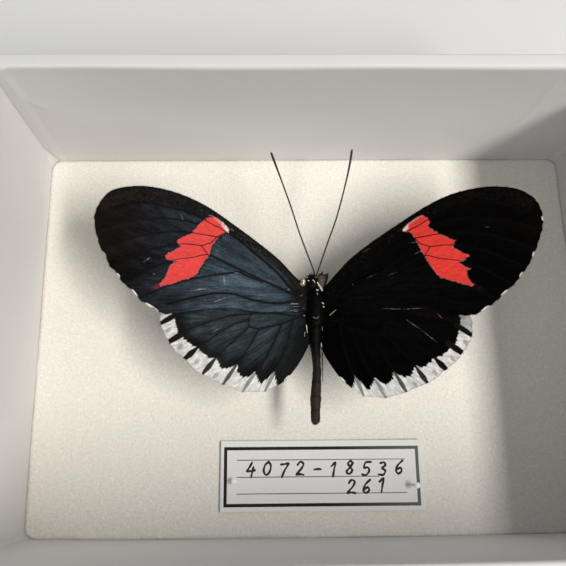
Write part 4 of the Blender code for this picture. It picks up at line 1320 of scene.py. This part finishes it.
def makeLocks(name, locks, material):   # bundles of single hairs, each a little off its lock's path
    shake = np.random.default_rng(lockLook["seed"])
    paths = []
    for centreLine, (first, last), count in locks:
        path = smoothPath(centreLine, 6) + (0, 0, foamTop)
        spread = np.linspace(first, last, len(path))[:, None]
        for _ in range(count):
            start = shake.integers(0, max(1, len(path) // 3))
            stop = len(path) - shake.integers(0, max(1, len(path) // 3))
            bent = path + spread * shake.uniform(-1, 1, 3) * (1, 1, 0.5)
            bent = bent + spread * shake.uniform(-0.4, 0.4, path.shape)
            radii = np.linspace(*lockLook["radii"], len(path)) * shake.uniform(0.7, 1.3)
            paths.append((bent[start:stop], radii[start:stop]))
    settle(makeTubes(name, paths, material, lockLook), "body")


abdomenLook = {
    "y": (-0.6, -16.02), "segments": 7, "rowsPerSegment": 20,
    "spineY": (-0.6, -2.2, -3.6, -5.45, -7.6, -9.7, -11.8, -13.9, -15.1, -16.05),
    "spineX": (0.0, -0.05, -0.03, 0.06, 0.11, -0.04, -0.2, -0.3, -0.32, -0.37),
    "halfWidth": (1.0, 0.98, 0.76, 0.66, 0.64, 0.76, 0.84, 0.74, 0.72, 0.62),
    "tones": ((0.0014, 0.0011, 0.001), (0.022, 0.0165, 0.0142), (0.042, 0.033, 0.028)),   # front to back
    "height": (9.75, 9.72, 9.7, 9.6, 9.45, 9.3, 9.15, 9.02, 8.95, 8.9),
}


def abdomenMaterial(name, gain, roughness):   # darker in front, dusty grey brown towards the tip
    material = openMaterial(name)
    patchy = maths("MULTIPLY_ADD", grained(1.2, 1.8), 3.0, axes(placed())[1] - 1.5)
    front, middle, back = (tuple(c * gain for c in tone) for tone in abdomenLook["tones"])
    base = mixed(stepped(patchy, -3.5, -7.5), front, middle)
    base = mixed(stepped(patchy, -8.0, -13.0), base, back)
    base = shaded(base, grained(0.3, 1.8), 0.4, 1.6)
    base = mixed(field("seam") * 0.75, base, (0.005, 0.004, 0.0035))
    return closeMaterial(material, base, (grained(0.2, 1.5), 0.6, 0.06), roughness, 0.1)


def makeAbdomen():
    look = abdomenLook
    rows = look["segments"] * look["rowsPerSegment"]
    share = np.arange(rows + 1) / rows
    y = look["y"][0] + (look["y"][1] - look["y"][0]) * share
    spine = np.negative(look["spineY"])
    x, h, half = (np.interp(-y, spine, look[key]) for key in ("spineX", "height", "halfWidth"))
    within = (np.arange(rows + 1) % look["rowsPerSegment"]) / look["rowsPerSegment"]
    tip = np.sqrt(np.clip(1 - np.clip((share - 0.955) / 0.045, 0, 1) ** 2, 0.05, 1))
    half = half * tip * (1 - 0.07 * within ** 1.5) + 0.03 * np.sin(share * 47 + 1) * np.sin(share * 23)
    rings = ringsAlong(np.column_stack([x, y, h + foamTop]), half, 1.05 * half, 40)
    seam = np.repeat(np.clip(1 - np.minimum(within, 1 - within) / 0.12, 0, 1), 40)
    makeFurred("abdomen", rings, abdomenMaterial("abdomenScales", 0.75, 0.55), "abdomen", abdomenFuzz,
               abdomenMaterial("abdomenHair", 1.05, 0.6), seam=np.append(seam, (0, 0)))


antennaLook = {
    "radius": 0.125, "clubRadius": 0.195, "clubShare": 0.32, "tipShare": 0.03,
    "spacing": 0.07, "sides": 10, "ringPitch": 0.42, "ringDepth": 0.09,
    "antenna_left": [(0.04, 7.5, 10.6), (-0.03, 8.42, 10.95), (-1.2, 11.7, 11.3), (-2.33, 15.0, 11.6),
                     (-3.66, 19.4, 12.1), (-5.05, 23.55, 12.5), (-6.1, 26.6, 12.8), (-6.86, 28.8, 13.0)],
    "antenna_right": [(0.3, 7.5, 10.6), (0.58, 8.3, 10.95), (1.08, 9.7, 11.05), (2.4, 13.3, 11.5),
                      (3.99, 17.6, 12.0), (5.48, 22.8, 12.5), (6.4, 26.6, 12.8), (6.89, 29.3, 13.0)],
}


def makeAntennae():
    look = antennaLook
    material = darkMaterial("antennaHorn", (0.012, 0.008, 0.006), (0.05, 0.036, 0.03), 0.5, 0.3)
    for name in ("antenna_left", "antenna_right"):
        path = smoothPath(look[name], 8) + (0, 0, foamTop)
        share = np.linspace(0, 1, len(path))
        club = np.clip((share - (1 - look["clubShare"])) / look["clubShare"], 0, 1)
        swell = np.sin(np.clip(club * 1.25, 0, 1) * pi / 2) ** 2
        tip = np.clip((share - (1 - look["tipShare"])) / look["tipShare"], 0, 1)
        close = np.sqrt(np.clip(1 - tip ** 2, 0.08, 1))
        radii = (look["radius"] + (look["clubRadius"] - look["radius"]) * swell) * close
        settle(makeTubes(name + "_shaft", [(path, radii)], material, look), "antenna", name)


legsLook = {
    "thigh": 0.19, "shin": 0.14, "foot": 0.09,
    "spacing": 0.12, "sides": 10, "ringPitch": 0.9, "ringDepth": 0.06,
    "leg_mid_left": [(-0.65, 3.2, 7.9), (-1.75, 4.6, 6.9), (-1.35, 1.2, 6.1), (-1.1, -1.9, 6.4)],
    "leg_mid_right": [(0.85, 3.2, 7.9), (1.95, 4.5, 6.8), (1.6, 1.1, 6.0), (1.45, -2.0, 6.3)],
    "leg_hind_left": [(-0.55, 0.7, 7.9), (-1.1, -0.9, 6.9), (-0.5, -4.2, 7.3), (-0.35, -6.8, 7.6)],
    "leg_hind_right": [(0.75, 0.7, 7.9), (1.45, -0.7, 7.0), (1.15, -5.0, 8.2), (1.05, -9.5, 8.7)],
}


def makeLegs():
    look = legsLook
    material = darkMaterial("legHorn", (0.012, 0.01, 0.009), (0.06, 0.05, 0.042), 0.5, 0.3)
    for name in ("leg_mid_left", "leg_mid_right", "leg_hind_left", "leg_hind_right"):
        hip, knee, ankle, toe = (np.array(p) + (0, 0, foamTop) for p in look[name])
        path, radii = [hip + (0, 0, 0.7)], [look["thigh"] * 0.8]
        for a, b, start, end in ((hip, knee, look["thigh"], look["thigh"] * 0.75),
                                 (knee, ankle, look["shin"], look["shin"] * 0.85),
                                 (ankle, toe, look["foot"], look["foot"] * 0.6)):
            for t in (0.06, 0.35, 0.65, 0.94):
                path.append(a + (b - a) * t)
                radii.append((start + (end - start) * t) * (1 + 0.18 * sin(pi * t)))
        settle(makeTubes(name + "_horn", [(path, radii)], material, look), "body", name)


tongueLook = {
    "centre": (-0.1, 7.35, 8.35), "radius": 0.13, "inner": 0.32, "pitch": 0.42, "turns": 1.75, "points": 91,
    "spacing": 0.07, "sides": 12, "ringPitch": 0.2, "ringDepth": 0.05,
}


def makeTongue():
    look = tongueLook
    material = darkMaterial("tongueHorn", (0.015, 0.009, 0.006), (0.07, 0.04, 0.025), 0.4, 0.3)
    share = np.linspace(0, 1, look["points"])
    turn = look["turns"] * share
    radius = look["inner"] + look["pitch"] * turn
    angle = radians(100) + 2 * pi * (look["turns"] - turn)
    x, y, z = look["centre"]
    across, up = y + radius * np.cos(angle), foamTop + z + radius * np.sin(angle)
    path = np.column_stack([np.full(len(share), x), across, up])
    radii = look["radius"] * (0.55 + 0.45 * share)
    settle(makeTubes("tongue_coil", [(path, radii)], material, look), "body", "proboscis")


# pins keep their solids and get polished steel

pinLook = {"label_pin_left": 0.42, "label_pin_right": 0.42, "specimen_pin": 0.0, "white": (0.92, 0.91, 0.88)}


def pinMaterial(name):   # polished steel, with the top of the head white and not metallic
    material = openMaterial("steel_" + name)
    base = mixed(grained(0.4, 1.6), (0.86, 0.845, 0.8), (0.95, 0.93, 0.88))
    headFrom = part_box(name)[1][2] / mm - pinLook[name]
    head = stepped(axes(placed())[2], headFrom - 0.03, headFrom)
    scuff = noiseAt(placed((1.0, 1.0, 6.0)), 0.08)
    return closeMaterial(material, mixed(head, base, pinLook["white"]), (scuff, 0.15, 0.01),
                         scaled(scuff, 0.38, 0.54), 0.5, {"Metallic": 1.0 - head})


def dressPins():
    for name in ("label_pin_left", "label_pin_right", "specimen_pin"):
        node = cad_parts[name]
        node.data.materials.clear()
        node.data.materials.append(pinMaterial(name))


# stage, light and camera

stageLook = {
    "floor": (0.72, 0.72, 0.71),
    "glows": (((-0.22, -0.58, 0.78), (1.03, 1.055, 1.09)), ((0.0, 0.95, 0.31), (0.84, 0.86, 0.95))),
    "dusk": (0.012, 0.012, 0.012),   # the sky glows in two places, and is this dark elsewhere
    "lightFrom": (0.352, -0.165, 0.55), "lightWidth": 0.1, "lightLength": 0.5,
    "lightPower": 4.6, "lightColour": (1.0, 0.975, 0.93),
    "camera": (-8.185, -22.078, 125.860), "cameraTurn": (15.3194, -1.4271, -0.9327), "lens": 42.39,
}


def makeFloor():
    bpy.ops.mesh.primitive_plane_add(size=3.0, location=(0, 0, -0.0002))
    floor = bpy.context.object
    floor.name = "studio_floor"
    material = openMaterial("paleFloor")
    base = mottled(40.0, 1.2, stageLook["floor"], 0.97)
    floor.data.materials.append(closeMaterial(material, base, (grained(1.2), 0.1, 0.05), 0.85, 0.2))


def makeSky():   # dim, with two wide glows
    world = bpy.data.worlds.new("studioSky")
    bpy.context.scene.world = world
    world.use_nodes = True
    openTrees.append(world.node_tree)
    aim = wire("ShaderNodeTexCoord", output="Generated")
    glow = stageLook["dusk"]
    for towards, tint in stageLook["glows"]:
        facing = vectorMaths("DOT_PRODUCT", aim, towards, "Value")
        glow = mixed(maths("POWER", maths("MAXIMUM", facing, 0.0), 5.0), glow, tint, "ADD")
    background = world.node_tree.nodes["Background"]
    setInput(background, "Color", glow)
    setInput(background, "Strength", 1.0)
    openTrees.pop()


def makeLight():
    look = stageLook
    light = bpy.data.lights.new("stripLight", "AREA")
    light.shape = "RECTANGLE"
    light.size, light.size_y = look["lightWidth"], look["lightLength"]
    light.energy = look["lightPower"]
    light.color = look["lightColour"]
    lamp = addObject("stripLight", light)
    lamp.location = look["lightFrom"]
    away = lamp.location.normalized()
    across = Vector((0, 1, 0)).cross(away).normalized()   # the strip's long side runs along Y
    lamp.rotation_euler = Matrix((across, away.cross(across), away)).transposed().to_euler()


def makeCamera():
    look = stageLook
    camera = bpy.data.cameras.new("photoView")
    camera.lens = look["lens"]
    camera.sensor_width = 36.0
    camera.clip_start = 0.005
    holder = addObject("photoView", camera)
    holder.location = Vector(look["camera"]) * mm
    holder.rotation_euler = tuple(radians(a) for a in look["cameraTurn"])
    bpy.context.scene.camera = holder
    bpy.context.scene.view_settings.view_transform = "Standard"


makeCamera()
makeFloor()
makeSky()
makeLight()
print("stage, light and camera are set")
makeBox()
makeFoam()
print("box and foam are made")
makeLabel()
dressPins()
print("label and pins are made")
bodySkin = darkMaterial("bodySkin", (0.0012, 0.001, 0.001), (0.004, 0.003, 0.0026), 0.6)
darkHair = darkMaterial("darkHair", (0.001, 0.0008, 0.0007), (0.0055, 0.0042, 0.0034), 0.5)
headHair = darkMaterial("headHair", (0.003, 0.002, 0.0015), (0.034, 0.023, 0.016), 0.55)
paleHair = darkMaterial("paleHair", (0.5, 0.46, 0.38), (0.84, 0.8, 0.7), 0.6)
tanHair = darkMaterial("tanHair", (0.17, 0.145, 0.12), (0.4, 0.36, 0.31), 0.6)
palpSkin = palpMaterial("palpSkin", (0.03, 0.024, 0.018), (0.12, 0.1, 0.08))
palpHair = palpMaterial("palpHair", (0.04, 0.031, 0.023), (0.24, 0.2, 0.16))
for wingName in wingPlaces:
    makeWing(wingName, darkHair, paleHair)
    print(wingName, "is made")
makeTrunk(bodySkin, darkHair, headHair)
makeEyes()
makePalps(palpSkin, palpHair)
makeLocks("pale_locks_and_highlights", paleLocksAndHighlights, paleHair)
makeLocks("tan_locks_and_highlights", tanLocksAndHighlights, tanHair)
makeTongue()
makeAbdomen()
makeAntennae()
makeLegs()
print("body is made")
